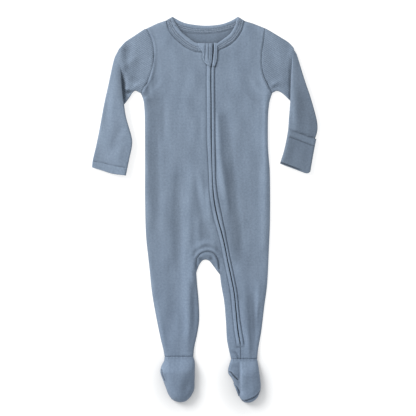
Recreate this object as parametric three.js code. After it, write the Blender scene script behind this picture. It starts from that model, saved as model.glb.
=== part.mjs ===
// Footed baby sleepsuit in a fine rib knit, laid flat on its back.
// Millimetres. +Z is up, +Y points to the neck, and right and left are the wearer's, so right is at -X.
// The panels lie on each other: the back is on the surface, and the fronts lie over it.
import * as THREE from 'three';
import { mergeVertices } from 'three/addons/utils/BufferGeometryUtils.js';

// Cloth
const WALL = 1.2;
const RIB_WALL = 2;
const SEAM_GAP = 0.3;

// Heights over the surface that the garment lies on
const AIR_UNDER_FRONT = 2.4;
const FRONT_FLOOR = WALL + SEAM_GAP;
const FRONT_TOP = WALL + AIR_UNDER_FRONT + WALL;
const EDGE_ROLL = 7;
const SLEEVE_HEIGHT = FRONT_TOP;
const ELBOW_HEIGHT = 3.3;
const CUFF_LIFT = WALL + SEAM_GAP;

// Levels down the body
const UNDERARM_Y = 186;
const CROTCH_Y = -95;
const ANKLE_RIGHT_Y = -236;
const ANKLE_LEFT_Y = -240;

// Zip
const SLOT_HALF = 1.2;
const TAPE_HALF = 9;
const TAPE_BOTTOM = FRONT_FLOOR + 0.1;
const TAPE_TOP = TAPE_BOTTOM + 0.9;
const ZIP_TOP_Y = 251;
const TAPE_END_Y = -217;
const TAPE_START_Y = 264;
const TAPE_STEPS = 36;
const TAPE_ROOM = 4;
const PLACKET_WIDTH = 7;
const PLACKET_RAISE = 0.6;
const PLACKET_EDGE = 1.5;
const SLIDER = { y: 240, width: 3.6, length: 8, bottom: TAPE_TOP + 0.3, top: 5.3 };
const SLIDER_SLOT_HALF = SLIDER.width / 2 + 1;
const SLIDER_SLOT_REACH = 12;

// Gives each row of a table its column names.
function columns(names, rows) {
  const keys = names.split(' ');
  return rows.map((row) => Object.fromEntries(keys.map((key, i) => [key, row[i]])));
}

// Outline of the body: x of each long line at its levels, from top to bottom.
const SIDE_RIGHT = columns('y x', [
  [186, -100], [175, -97], [150, -95], [80, -95], [15, -95], [-42, -93.5], [-81, -89.5], [-95, -88],
  [-132, -84], [-170, -77.5], [-209, -69.5], [-225, -65.5], [-236, -63.5],
]);
const SIDE_LEFT = columns('y x', [
  [190, 106], [175, 104], [150, 101.8], [98, 101.8], [60, 104.5], [-17, 105], [-65, 103], [-120, 100],
  [-158, 95], [-196, 90.5], [-225, 85.5], [-240, 84],
]);
const INSIDE_LEG_RIGHT = columns('y x', [
  [-95, -14], [-120, -12], [-145, -9.5], [-177, -8.5], [-199, -11.5], [-222, -16.5], [-236, -18],
]);
const INSIDE_LEG_LEFT = columns('y x', [
  [-95, 24], [-120, 27], [-148, 32], [-183, 35], [-209, 36.5], [-225, 39.5], [-240, 43],
]);
const ZIP_LINE = columns('y x', [
  [267, 15.5], [251, 14], [230, 10.8], [205, 10.2], [175, 10.5], [106, 11], [34, 13.5], [8, 16], [-17, 21],
  [-37, 28.5], [-55, 33.5], [-80, 37.5], [-105, 42], [-133, 47.5], [-162, 50.5], [-193, 53.5], [-218, 57.5],
  [-240, 58.5],
]);

// Crotch seam: how far it arches above the crotch level.
const CROTCH_ARCH = columns('x lift', [
  [-14, 0], [-11.8, 17], [-6, 24], [1.5, 27.3], [9, 27.3], [16.5, 23.5], [22, 14], [24, 0],
]);

// Smooth curve through a table's rows: the value of one column at a place along another.
function smooth(table, along, value) {
  const slope = (i) => {
    const a = table[Math.max(i - 1, 0)];
    const b = table[Math.min(i + 1, table.length - 1)];
    return (b[value] - a[value]) / (b[along] - a[along]);
  };
  return (place) => {
    const falls = table[0][along] > table[1][along];
    let i = table.findIndex((row) => (falls ? row[along] <= place : row[along] >= place));
    i = Math.min(Math.max(i < 0 ? table.length - 1 : i, 1), table.length - 1);
    const [a, b] = [table[i - 1], table[i]];
    const span = b[along] - a[along];
    const t = THREE.MathUtils.clamp((place - a[along]) / span, 0, 1);
    const [t2, t3] = [t * t, t * t * t];
    return a[value] * (2 * t3 - 3 * t2 + 1) + b[value] * (3 * t2 - 2 * t3)
      + slope(i - 1) * span * (t3 - 2 * t2 + t) + slope(i) * span * (t3 - t2);
  };
}

const sideRight = smooth(SIDE_RIGHT, 'y', 'x');
const sideLeft = smooth(SIDE_LEFT, 'y', 'x');
const insideRight = smooth(INSIDE_LEG_RIGHT, 'y', 'x');
const insideLeft = smooth(INSIDE_LEG_LEFT, 'y', 'x');
const zipLine = smooth(ZIP_LINE, 'y', 'x');

// The slot is wider where the slider sits in it.
function slotHalf(y) {
  const near = Math.max(0, 1 - Math.abs(y - SLIDER.y) / SLIDER_SLOT_REACH);
  return SLOT_HALF + (SLIDER_SLOT_HALF - SLOT_HALF) * Math.min(1, 2.4 * near);
}

// A curve through points, as a function from 0 to 1 by its length.
function through(...points) {
  const curve = new THREE.SplineCurve(points.map(([x, y]) => new THREE.Vector2(x, y)));
  return (t) => curve.getPointAt(THREE.MathUtils.clamp(t, 0, 1)).toArray();
}

// Two curves end to end, with the corner at a given share.
const cornered = (first, second, share) => (t) => (t < share
  ? first(t / share)
  : second((t - share) / (1 - share)));
const moved = (curve, dx, dy) => (t) => [curve(t)[0] + dx, curve(t)[1] + dy];
const straight = (a, b) => (t) => [a[0] + (b[0] - a[0]) * t, a[1] + (b[1] - a[1]) * t];

// Shoulders, armholes and necklines
const SHOULDER_RIGHT = through([-93.5, 287.5], [-77.5, 295.5], [-61, 302]);
const SHOULDER_LEFT = through([64, 301.5], [81, 296], [97.5, 289]);
const ARMHOLE_RIGHT = through([-93.5, 287.5], [-85.5, 273.5], [-82, 258], [-83, 235], [-88.5, 212], [-100, 186]);
const ARMHOLE_LEFT = through([97.5, 289], [94.5, 269.5], [91.5, 249], [92, 226], [96, 209], [106, 190]);
const NECK_FRONT_RIGHT = through([-61, 302], [-57.5, 289.5], [-49.5, 277], [-39, 267.5], [-28, 259],
  [-16, 253.5], [-5.5, 252], [12.8, 251]);
const NECK_FRONT_LEFT = through([15.2, 251], [23, 255], [34, 260.5], [45.5, 267.5], [54.5, 278.5], [61, 289.5],
  [64, 301.5]);
const NECK_BACK = through([-61, 302], [-52, 294], [-36.5, 287], [-21, 283], [2, 282], [25, 284.5], [46, 290.5],
  [57, 295.5], [64, 301.5]);
const GUSSET_EDGE = through([-13.4, -103], [-11.5, -97], [-8, -88.5], [-2, -81.5], [6.5, -81.5], [13, -88],
  [20, -97], [24.2, -103]);

// Free inner edges of the neckband
const BAND_FRONT_RIGHT = through([-51, 308.5], [-47, 299.5], [-39, 287], [-30, 278.5], [-21, 271.5],
  [-10.5, 266], [12.8, 264.5]);
const BAND_FRONT_LEFT = through([17.5, 263.5], [23, 267.5], [30.5, 273], [41.5, 282], [49, 295], [51, 303],
  [53.5, 308.5]);
const BAND_BACK = through([-51, 308.5], [-39, 301.5], [-25.5, 297], [0.5, 294], [25, 296], [41.5, 301.5],
  [53.5, 308.5]);

// Main folds of the fronts and sleeves, each a soft ridge or trough along a line.
const FOLDS = columns('x0 y0 x1 y1 width height', [
  [-30, -5, -27, -150, 8, 1.0],
  [-46, 36, -45, -70, 8, -0.8],
  [-54, -75, -50, -190, 8, -0.8],
  [-18, -68, -20, -112, 5, 1.1],
  [-7, 55, 3, -14, 7, 0.9],
  [29, 50, 40, 0, 7, 0.9],
  [45, 85, 53, 0, 8, -0.8],
  [70, -70, 75, -200, 10, -0.9],
  [88, 120, 86, -60, 9, 0.7],
  [-79, 150, -77, -10, 8, -0.7],
  [-62, 190, -50, 90, 10, 0.6],
  [62, 185, 58, 95, 10, 0.6],
  [-88, 170, -66, 205, 6, 0.7],
  [92, 172, 70, 208, 6, 0.7],
  [-108, 270, -112, 205, 8, 0.6],
  [110, 262, 116, 205, 8, 0.6],
  [-150, 150, -142, 90, 8, 0.7],
  [160, 175, 158, 132, 8, 0.6],
]);

function foldsAt(x, y) {
  let rise = 0;
  for (const fold of FOLDS) {
    const [dx, dy] = [fold.x1 - fold.x0, fold.y1 - fold.y0];
    const length = Math.hypot(dx, dy);
    const along = ((x - fold.x0) * dx + (y - fold.y0) * dy) / length;
    const aside = ((x - fold.x0) * dy - (y - fold.y0) * dx) / length;
    const past = Math.max(0, -along, along - length) / (2 * fold.width);
    rise += fold.height * Math.exp(-((aside / fold.width) ** 2) - past ** 2);
  }
  return rise;
}

// Lines where the cloth folds round to the back, as points a few millimetres apart.
const STEPS_ALONG_FOLD = 80;
const sampled = (curve) => Array.from({ length: STEPS_ALONG_FOLD + 1 }, (_, i) => curve(i / STEPS_ALONG_FOLD));
const downLine = (line, top, bottom) => (t) => {
  const y = top + (bottom - top) * t;
  return [line(y), y];
};

function distanceTo(lines, x, y) {
  let least = Infinity;
  for (const line of lines) {
    for (let i = 1; i < line.length; i++) {
      const [[ax, ay], [bx, by]] = [line[i - 1], line[i]];
      const span = (bx - ax) ** 2 + (by - ay) ** 2 || 1;
      const t = THREE.MathUtils.clamp(((x - ax) * (bx - ax) + (y - ay) * (by - ay)) / span, 0, 1);
      least = Math.min(least, Math.hypot(x - ax - t * (bx - ax), y - ay - t * (by - ay)));
    }
  }
  return least;
}

const roundShare = (distance, radius) => Math.sqrt(1 - (1 - THREE.MathUtils.clamp(distance / radius, 0, 1)) ** 2);

const BODY_FOLD_LINES = [
  SHOULDER_RIGHT,
  SHOULDER_LEFT,
  downLine(sideRight, UNDERARM_Y, ANKLE_RIGHT_Y),
  downLine(sideLeft, UNDERARM_Y + 4, ANKLE_LEFT_Y),
  downLine(insideRight, CROTCH_Y - 4, ANKLE_RIGHT_Y),
  downLine(insideLeft, CROTCH_Y - 4, ANKLE_LEFT_Y),
  GUSSET_EDGE,
].map(sampled);

// Height of the fronts' outer face.
function frontHeight(x, y) {
  const share = roundShare(distanceTo(BODY_FOLD_LINES, x, y), EDGE_ROLL);
  const beside = Math.abs(x - zipLine(y)) - SLOT_HALF;
  const placket = THREE.MathUtils.smoothstep(PLACKET_WIDTH + PLACKET_EDGE - beside, 0, PLACKET_EDGE);
  const calm = 1 - Math.exp(-((beside / PLACKET_WIDTH) ** 2));
  return FRONT_FLOOR + (FRONT_TOP - FRONT_FLOOR + foldsAt(x, y) * calm) * share + PLACKET_RAISE * placket * share;
}

// Lowest place for the fronts' inner face: over the back, and over the zip tape.
function frontFloor(x, y) {
  const overTape = Math.abs(x - zipLine(y)) < TAPE_HALF + TAPE_ROOM && y > TAPE_END_Y - TAPE_ROOM;
  return overTape ? TAPE_TOP + SEAM_GAP : FRONT_FLOOR;
}

// Flat meshes

// A patch between four edges: u runs from left to right, v from top to bottom.
function patch({ top, bottom, left, right }) {
  return (u, v) => [0, 1].map((k) => (1 - v) * top(u)[k] + v * bottom(u)[k]
    + (1 - u) * left(v)[k] + u * right(v)[k]
    - (1 - u) * (1 - v) * top(0)[k] - u * (1 - v) * top(1)[k]
    - (1 - u) * v * bottom(0)[k] - u * v * bottom(1)[k]);
}

const evenly = (count) => Array.from({ length: count + 1 }, (_, i) => i / count);

// Collects quads that share their corners.
class FlatMesh {
  constructor() {
    this.points = [];
    this.quads = [];
    this.index = new Map();
  }

  point([x, y]) {
    const key = `${Math.round(x * 200)},${Math.round(y * 200)}`;
    if (!this.index.has(key)) {
      this.index.set(key, this.points.length);
      this.points.push([x, y]);
    }
    return this.index.get(key);
  }

  block(place, across, down) {
    const rows = down.map((v) => across.map((u) => this.point(place(u, v))));
    for (let j = 1; j < rows.length; j++) {
      for (let i = 1; i < across.length; i++) {
        this.quads.push([rows[j - 1][i - 1], rows[j][i - 1], rows[j][i], rows[j - 1][i]]);
      }
    }
    return this;
  }

  // Edges that only one quad has, in its direction.
  rim() {
    const seen = new Map();
    for (const quad of this.quads) {
      quad.forEach((a, i) => {
        const b = quad[(i + 1) % 4];
        if (a !== b) seen.set(`${a},${b}`, [a, b]);
      });
    }
    return [...seen.values()].filter(([a, b]) => !seen.has(`${b},${a}`));
  }
}

function solid(corners, faces) {
  const flat = faces.flatMap((face) => face.slice(2).flatMap((_, i) => [face[0], face[i + 1], face[i + 2]]));
  const triangles = [];
  for (let i = 0; i < flat.length; i += 3) {
    const [a, b, c] = flat.slice(i, i + 3);
    if (a !== b && b !== c && a !== c) triangles.push(a, b, c);
  }
  const geometry = new THREE.BufferGeometry();
  geometry.setAttribute('position', new THREE.Float32BufferAttribute(corners.flat(), 3));
  geometry.setIndex(triangles);
  return mergeVertices(geometry, 1e-4);
}

// Cloth over a flat mesh: the outer face at a height, the inner face one wall inside it.
function cloth(flat, { height, wall = WALL, floor = () => 0 }) {
  const outer = flat.points.map(([x, y]) => new THREE.Vector3(x, y, height(x, y)));
  const normals = outer.map(() => new THREE.Vector3());
  for (const quad of flat.quads) {
    const [a, b, c, d] = quad.map((i) => outer[i]);
    const face = new THREE.Vector3().crossVectors(c.clone().sub(a), d.clone().sub(b));
    quad.forEach((i) => normals[i].add(face));
  }
  const inner = outer.map((p, i) => {
    const q = p.clone().addScaledVector(normals[i].normalize(), -wall);
    q.z = Math.min(Math.max(q.z, floor(p.x, p.y)), p.z);
    return q;
  });
  const count = outer.length;
  const faces = [
    ...flat.quads,
    ...flat.quads.map((quad) => [...quad].reverse().map((i) => i + count)),
    ...flat.rim().map(([a, b]) => [b, a, a + count, b + count]),
  ];
  return solid([...outer, ...inner].map((p) => p.toArray()), faces);
}

const slab = (flat, bottom, top) => {
  const count = flat.points.length;
  const corners = [...flat.points.map(([x, y]) => [x, y, top]), ...flat.points.map(([x, y]) => [x, y, bottom])];
  return outward(solid(corners, [
    ...flat.quads,
    ...flat.quads.map((quad) => [...quad].reverse().map((i) => i + count)),
    ...flat.rim().map(([a, b]) => [b, a, a + count, b + count]),
  ]));
};

// A flattened tube of cloth, open at both ends: u runs along it and v across it.
const TUBE_STEPS_ACROSS = 5;
const TUBE_ROUND = [0, 0.25, 1];

function flatTube(place, { sections, height, base, folded = () => 1 }) {
  const ring = (u, inset) => {
    const [p, q] = [place(u, 0), place(u, 1)];
    const width = Math.hypot(q[0] - p[0], q[1] - p[1]);
    const [low, high] = [base(u) + inset, base(u) + height(u) - inset];
    const radius = Math.min((high - low) / 2, width / 2 - inset);
    const middle = (low + high) / 2;
    const distances = [
      ...TUBE_ROUND.map((share) => inset + share * radius),
      ...evenly(TUBE_STEPS_ACROSS).slice(1, -1).map((share) => {
        const from = inset + radius;
        return from + share * (width - 2 * from);
      }),
      ...[...TUBE_ROUND].reverse().map((share) => width - inset - share * radius),
    ];
    const at = (distance, side) => {
      const [x, y] = place(u, distance / width);
      const fromEdge = Math.min(distance, width - distance) - inset;
      const rise = roundShare(fromEdge, radius) * (high - low) / 2;
      const fold = side > 0 ? foldsAt(x, y) * folded(u) * roundShare(fromEdge, EDGE_ROLL) : 0;
      return [x, y, middle + side * rise + fold];
    };
    return [
      ...distances.map((d) => at(d, 1)),
      ...distances.slice(1, -1).reverse().map((d) => at(d, -1)),
    ];
  };
  const outer = sections.map((u) => ring(u, 0));
  const inner = sections.map((u) => ring(u, WALL));
  const around = outer[0].length;
  const innerStart = sections.length * around;
  const id = (start, section, i) => start + section * around + (i % around);
  const faces = [];
  for (let i = 0; i < around; i++) {
    for (let s = 1; s < sections.length; s++) {
      faces.push([id(0, s - 1, i), id(0, s - 1, i + 1), id(0, s, i + 1), id(0, s, i)]);
      faces.push([id(innerStart, s - 1, i + 1), id(innerStart, s - 1, i),
        id(innerStart, s, i), id(innerStart, s, i + 1)]);
    }
    const last = sections.length - 1;
    faces.push([id(0, 0, i + 1), id(0, 0, i), id(innerStart, 0, i), id(innerStart, 0, i + 1)]);
    faces.push([id(0, last, i), id(0, last, i + 1), id(innerStart, last, i + 1), id(innerStart, last, i)]);
  }
  return outward(solid([...outer.flat(), ...inner.flat()], faces));
}

// Turns a closed surface so that its faces point out.
function outward(geometry) {
  const [at, index] = [geometry.getAttribute('position'), geometry.getIndex()];
  const corner = (i) => new THREE.Vector3().fromBufferAttribute(at, index.getX(i));
  let volume = 0;
  for (let i = 0; i < index.count; i += 3) volume += corner(i).dot(corner(i + 1).cross(corner(i + 2)));
  if (volume < 0) {
    for (let i = 0; i < index.count; i += 3) {
      const first = index.getX(i);
      index.setX(i, index.getX(i + 1));
      index.setX(i + 1, first);
    }
  }
  return geometry;
}

// Columns and rows of the panels
const EDGE_COLUMNS = [0, 0.8, 2.4, 6];
const INNER_COLUMN = EDGE_COLUMNS.at(-1);
const YOKE_ROWS = evenly(8);
const TORSO_ROWS = evenly(15);
const LEG_ROWS = evenly(8);
const ARCH_REACH = 45;
const GUSSET_DOWN = [0, 0.4, 0.7, 0.9, 1];

const archLift = smooth(CROTCH_ARCH, 'x', 'lift');
const lifted = (x, y) => {
  const near = THREE.MathUtils.clamp(1 - (y - CROTCH_Y) / ARCH_REACH, 0, 1);
  return y + archLift(x) * near * near;
};

// Rows of a panel between two levels: a column is a function from y to x.
const rowsOf = (lines, top, bottom) => (i, v) => {
  const y = top + (bottom - top) * v;
  return [lines[i](y), y];
};
const numbers = (list) => list.map((_, i) => i);

// Spreads columns that have set places at the crotch over the width higher up.
function spreadColumns(places, left, right) {
  const [from, to] = [left(CROTCH_Y), right(CROTCH_Y)];
  return places.map((x) => (y) => left(y) + (x - from) / (to - from) * (right(y) - left(y)));
}

const offset = (line, by) => (y) => line(y) + by;
const between = (a, b, share) => (y) => a(y) + (b(y) - a(y)) * share;
const slotRight = (y) => zipLine(y) - slotHalf(y);
const slotLeft = (y) => zipLine(y) + slotHalf(y);
const placketRight = offset(zipLine, -SLOT_HALF - PLACKET_WIDTH);
const placketLeft = offset(zipLine, SLOT_HALF + PLACKET_WIDTH);
const PLACKET_LINES_RIGHT = [offset(placketRight, -PLACKET_EDGE), placketRight, slotRight];
const PLACKET_LINES_LEFT = [slotLeft, placketLeft, offset(placketLeft, PLACKET_EDGE)];

// Leg columns between an outer and an inner fold line
const legLines = (outer, inner, side, middle) => [
  ...EDGE_COLUMNS.map((d) => offset(outer, side * d)),
  ...middle.map((share) => between(outer, inner, share)),
  ...[...EDGE_COLUMNS].reverse().map((d) => offset(inner, -side * d)),
];

// The yoke is a patch from the neckline and shoulder down to the underarm, with a column at their corner.
function yoke(mesh, lines, { first, second, corner, left, right }) {
  const xs = lines.map((line) => line(UNDERARM_Y));
  const shares = xs.map((x) => (x - xs[0]) / (xs.at(-1) - xs[0]));
  const bottom = (u) => [xs[0] + (xs.at(-1) - xs[0]) * u, UNDERARM_Y];
  const nearest = shares.reduce((best, share) => (Math.abs(share - corner) < Math.abs(best - corner) ? share : best));
  const top = cornered(first, second, nearest);
  mesh.block(patch({ top, bottom, left, right }), shares, YOKE_ROWS);
}

const ARCH_XS = CROTCH_ARCH.map((row) => row.x).slice(1, -1);
const MIDDLE_SHARES = [0.28, 0.5, 0.72];
const LEFT_FRONT_SHARES = [0.17, 0.33, 0.5, 0.67, 0.83];
const BACK_LEG_SHARES = [0, 0.33, 0.67, 1];
const SHOULDER_SHARE_RIGHT = 0.28;
const NECK_SHARE_LEFT = 0.68;
const SHOULDER_SHARE_BACK = 0.16;
const BACK_TORSO_ROWS = evenly(8);
const BACK_LEG_ROWS = evenly(7);

function frontRight() {
  const mesh = new FlatMesh();
  const leg = legLines(sideRight, insideRight, 1, MIDDLE_SHARES);
  const strip = [...EDGE_COLUMNS.slice(0, 3).map((d) => offset(insideLeft, d)), ...PLACKET_LINES_RIGHT];
  const crotchXs = [...leg.slice(4), ...strip.slice(0, 3)].map((line) => line(CROTCH_Y));
  crotchXs.splice(leg.length - 4, 0, ...ARCH_XS);
  const torso = [
    ...EDGE_COLUMNS.map((d) => offset(sideRight, d)),
    ...spreadColumns(crotchXs, offset(sideRight, INNER_COLUMN), placketRight),
    ...PLACKET_LINES_RIGHT,
  ];
  const left = ARMHOLE_RIGHT;
  const right = (v) => {
    const y = ZIP_TOP_Y + (UNDERARM_Y - ZIP_TOP_Y) * v;
    return [slotRight(y), y];
  };
  yoke(mesh, torso, { first: SHOULDER_RIGHT, second: NECK_FRONT_RIGHT, corner: SHOULDER_SHARE_RIGHT, left, right });
  mesh.block(archRows(torso), numbers(torso), TORSO_ROWS);
  mesh.block(rowsOf(leg, CROTCH_Y, ANKLE_RIGHT_Y), numbers(leg), LEG_ROWS);
  mesh.block(rowsOf(strip, CROTCH_Y, ANKLE_LEFT_Y), numbers(strip), LEG_ROWS);
  return cloth(mesh, { height: frontHeight, floor: frontFloor });
}

// Torso rows, which bend up to the crotch seam as they come near it.
function archRows(lines) {
  return (i, v) => {
    const y = UNDERARM_Y + (CROTCH_Y - UNDERARM_Y) * v;
    return [lines[i](y), lifted(lines[i](CROTCH_Y), y)];
  };
}

function frontLeft() {
  const mesh = new FlatMesh();
  const lines = [
    ...PLACKET_LINES_LEFT,
    ...LEFT_FRONT_SHARES.map((share) => between(PLACKET_LINES_LEFT.at(-1), offset(sideLeft, -INNER_COLUMN), share)),
    ...[...EDGE_COLUMNS].reverse().map((d) => offset(sideLeft, -d)),
  ];
  const left = (v) => {
    const y = ZIP_TOP_Y + (UNDERARM_Y - ZIP_TOP_Y) * v;
    return [slotLeft(y), y];
  };
  const right = straightened(ARMHOLE_LEFT, sideLeft(UNDERARM_Y));
  yoke(mesh, lines, { first: NECK_FRONT_LEFT, second: SHOULDER_LEFT, corner: NECK_SHARE_LEFT, left, right });
  mesh.block(rowsOf(lines, UNDERARM_Y, CROTCH_Y), numbers(lines), TORSO_ROWS);
  mesh.block(rowsOf(lines, CROTCH_Y, ANKLE_LEFT_Y), numbers(lines), LEG_ROWS);
  return cloth(mesh, { height: frontHeight, floor: frontFloor });
}

// Ends an armhole at the underarm's level, whatever its own last point.
const straightened = (curve, x) => (t) => {
  const [px, py] = curve(t);
  const [ex, ey] = curve(1);
  return [px + (x - ex) * t, py + (UNDERARM_Y - ey) * t];
};

function back() {
  const mesh = new FlatMesh();
  const legRight = BACK_LEG_SHARES.map((share) => between(sideRight, insideRight, share));
  const legLeft = BACK_LEG_SHARES.map((share) => between(insideLeft, sideLeft, share));
  const atCrotch = (lines) => lines.map((line) => line(CROTCH_Y));
  const crotchXs = [...atCrotch(legRight), ...ARCH_XS, ...atCrotch(legLeft)];
  const torso = spreadColumns(crotchXs, sideRight, sideLeft);
  const top = (u) => {
    const neckEnd = 1 - SHOULDER_SHARE_BACK;
    if (u < SHOULDER_SHARE_BACK) return SHOULDER_RIGHT(u / SHOULDER_SHARE_BACK);
    if (u > neckEnd) return SHOULDER_LEFT((u - neckEnd) / SHOULDER_SHARE_BACK);
    return NECK_BACK((u - SHOULDER_SHARE_BACK) / (neckEnd - SHOULDER_SHARE_BACK));
  };
  const xs = torso.map((line) => line(UNDERARM_Y));
  const shares = evenly(torso.length - 1);
  const bottom = (u) => {
    const place = u * (xs.length - 1);
    const i = Math.min(Math.floor(place), xs.length - 2);
    return [xs[i] + (xs[i + 1] - xs[i]) * (place - i), UNDERARM_Y];
  };
  const right = straightened(ARMHOLE_LEFT, sideLeft(UNDERARM_Y));
  mesh.block(patch({ top, bottom, left: ARMHOLE_RIGHT, right }), shares, YOKE_ROWS);
  mesh.block(archRows(torso), numbers(torso), BACK_TORSO_ROWS);
  mesh.block(rowsOf(legRight, CROTCH_Y, ANKLE_RIGHT_Y), numbers(legRight), BACK_LEG_ROWS);
  mesh.block(rowsOf(legLeft, CROTCH_Y, ANKLE_LEFT_Y), numbers(legLeft), BACK_LEG_ROWS);
  return slab(mesh, 0, WALL);
}

// The gusset fills the crotch arch down to its own curved edge.
const GUSSET_GAP = 0.7;

function gusset() {
  const middle = (CROTCH_ARCH[0].x + CROTCH_ARCH.at(-1).x) / 2;
  const corners = CROTCH_ARCH.map(({ x, lift }) => [
    x + Math.sign(middle - x) * GUSSET_GAP, CROTCH_Y + lift - GUSSET_GAP,
  ]);
  const seam = (u) => {
    const i = Math.min(Math.floor(u * (corners.length - 1)), corners.length - 2);
    return straight(corners[i], corners[i + 1])(u * (corners.length - 1) - i);
  };
  const left = straight(seam(0), GUSSET_EDGE(0));
  const right = straight(seam(1), GUSSET_EDGE(1));
  const across = evenly(2 * (corners.length - 1));
  const mesh = new FlatMesh().block(patch({ top: seam, bottom: GUSSET_EDGE, left, right }), across, GUSSET_DOWN);
  return cloth(mesh, { height: frontHeight, floor: () => FRONT_FLOOR });
}

// A strip between its seam and its free edge.
const stripBetween = (seam, edge, steps) => new FlatMesh().block(
  (u, v) => straight(seam(u), edge(u))(v), evenly(steps), [0, 0.5, 1],
);

const BAND_LEVEL = FRONT_TOP - RIB_WALL - 0.1;
const BAND_INSET = 0.8;
const BAND_STEPS = 22;

// Moves a curve a little way towards another.
const towards = (curve, other, by) => (t) => {
  const [a, b] = [curve(t), other(t)];
  const length = Math.hypot(b[0] - a[0], b[1] - a[1]);
  return [a[0] + (b[0] - a[0]) * by / length, a[1] + (b[1] - a[1]) * by / length];
};

const neckBand = (seam, edge, bottom, thickness) => slab(
  stripBetween(towards(seam, edge, BAND_INSET), edge, BAND_STEPS), bottom, bottom + thickness,
);

// Sleeves
const ARMHOLE_GAP = 0.9;
const UPPER_SECTIONS = 8;
const LOWER_SECTIONS = 12;
const MITTEN_SECTIONS = 4;
const FLATTENING = { start: 0.42, end: 0.72 };
const FOREARM_SETTLED_Y = 125;
const FOREARM_LYING_Y = 158;
const APEX_HEIGHT_SHARE = 0.72;
const MITTEN_ROOM = 0.8;

const UPPER_RIGHT = patch({
  left: through([-94.4, 287.5], [-113, 276], [-134, 260.5]),
  right: through([-100.9, 186], [-104, 187.5], [-111, 190.5], [-121, 179.5], [-130, 168.5], [-138, 166]),
  top: moved(ARMHOLE_RIGHT, -ARMHOLE_GAP, 0),
  bottom: through([-134, 260.5], [-142, 235], [-147.5, 205], [-146, 180], [-138, 166]),
});
const UPPER_LEFT = patch({
  left: through([98.4, 289], [121, 275], [142.5, 259]),
  right: through([106.9, 190], [117, 189.5], [125.5, 184.5], [137.5, 173], [146, 168]),
  top: moved(ARMHOLE_LEFT, ARMHOLE_GAP, 0),
  bottom: through([142.5, 259], [149, 235], [156, 205], [155, 180], [146, 168]),
});
const LOWER_RIGHT = patch({
  left: through([-139, 254], [-145.5, 238], [-154.5, 199], [-160, 175], [-165, 147.5], [-170, 118], [-173.5, 99.5],
    [-178.5, 79], [-180, 67]),
  right: through([-132, 256.5], [-133.5, 237.5], [-132.5, 200.5], [-130, 176.5], [-126, 147.5], [-117, 116.5],
    [-116.5, 101.5], [-121, 80], [-126, 57]),
  top: straight([-139, 254], [-132, 256.5]),
  bottom: through([-180, 67], [-165, 60], [-140, 55], [-126, 57]),
});
const LOWER_LEFT = patch({
  left: through([148, 246], [156.5, 218], [163, 197.5], [169, 180], [177.3, 149], [180, 133], [178.5, 122],
    [175.6, 112], [172, 93.5], [167.5, 65]),
  right: through([142, 249.5], [138.5, 214.5], [137.5, 194], [137.5, 174], [136.5, 145.5], [136, 125.5],
    [133.5, 109.5], [130, 91.5], [126, 76]),
  top: straight([148, 246], [142, 249.5]),
  bottom: straight([167.5, 65], [126, 76]),
});
const MITTEN_LEFT = patch({
  left: through([178.5, 112.5], [175, 93.5], [169, 61.5]),
  right: through([134, 125], [131, 109.5], [127.5, 91.5], [123.5, 72.5]),
  top: through([178.5, 112.5], [168, 114], [153, 120], [134, 125]),
  bottom: through([169, 61.5], [163.5, 58.5], [145, 63.5], [123.5, 72.5]),
});

// patch() runs u across and v down, and a tube's u runs along it.
const alongTube = (place) => (u, v) => place(v, u);

// The upper arm flattens where the forearm lies over it.
const underForearm = (u) => THREE.MathUtils.smoothstep(u, FLATTENING.start, FLATTENING.end);
const upperHeight = (u) => SLEEVE_HEIGHT - (SLEEVE_HEIGHT - ELBOW_HEIGHT) * underForearm(u);

// The forearm lies on the upper arm, then comes down to its cuff's level.
const lowerBase = (place) => (u) => {
  const y = place(u, 0.5)[1];
  const share = THREE.MathUtils.smoothstep(y, FOREARM_SETTLED_Y, FOREARM_LYING_Y);
  return CUFF_LIFT + (ELBOW_HEIGHT + SEAM_GAP - CUFF_LIFT) * share;
};

function lowerSleeve(edges) {
  const place = alongTube(edges);
  return flatTube(place, {
    sections: evenly(LOWER_SECTIONS),
    height: (u) => SLEEVE_HEIGHT * THREE.MathUtils.lerp(
      APEX_HEIGHT_SHARE, 1, THREE.MathUtils.smoothstep(u, 0, 1 / 3),
    ),
    base: lowerBase(place),
  });
}

const upperSleeve = (edges) => flatTube(alongTube(edges), {
  sections: evenly(UPPER_SECTIONS),
  height: upperHeight,
  folded: (u) => 1 - underForearm(u),
  base: () => 0,
});

const mittenLeft = () => flatTube(alongTube(MITTEN_LEFT), {
  sections: evenly(MITTEN_SECTIONS),
  height: () => CUFF_LIFT + SLEEVE_HEIGHT + SEAM_GAP + WALL + MITTEN_ROOM,
  base: () => 0,
});

// The right mitten is folded back flat under its cuff.
function mittenRight() {
  const edges = patch({
    top: straight([-167, 113], [-120, 111]),
    bottom: through([-178, 69], [-164, 62], [-140, 57.5], [-127, 60]),
    left: through([-167, 113], [-172, 95], [-178, 69]),
    right: through([-120, 111], [-119, 98], [-127, 60]),
  });
  return slab(new FlatMesh().block(edges, evenly(6), evenly(6)), 0, WALL);
}

// Feet: an upper over a flat sole
const SOLE_WALL = 1.6;
const FOOT_FLOOR = SOLE_WALL + SEAM_GAP;
const FOOT_WALL = 1.3;
const FOOT_ROLL = 13;
const FOOT_RISE_LENGTH = 26;

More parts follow.
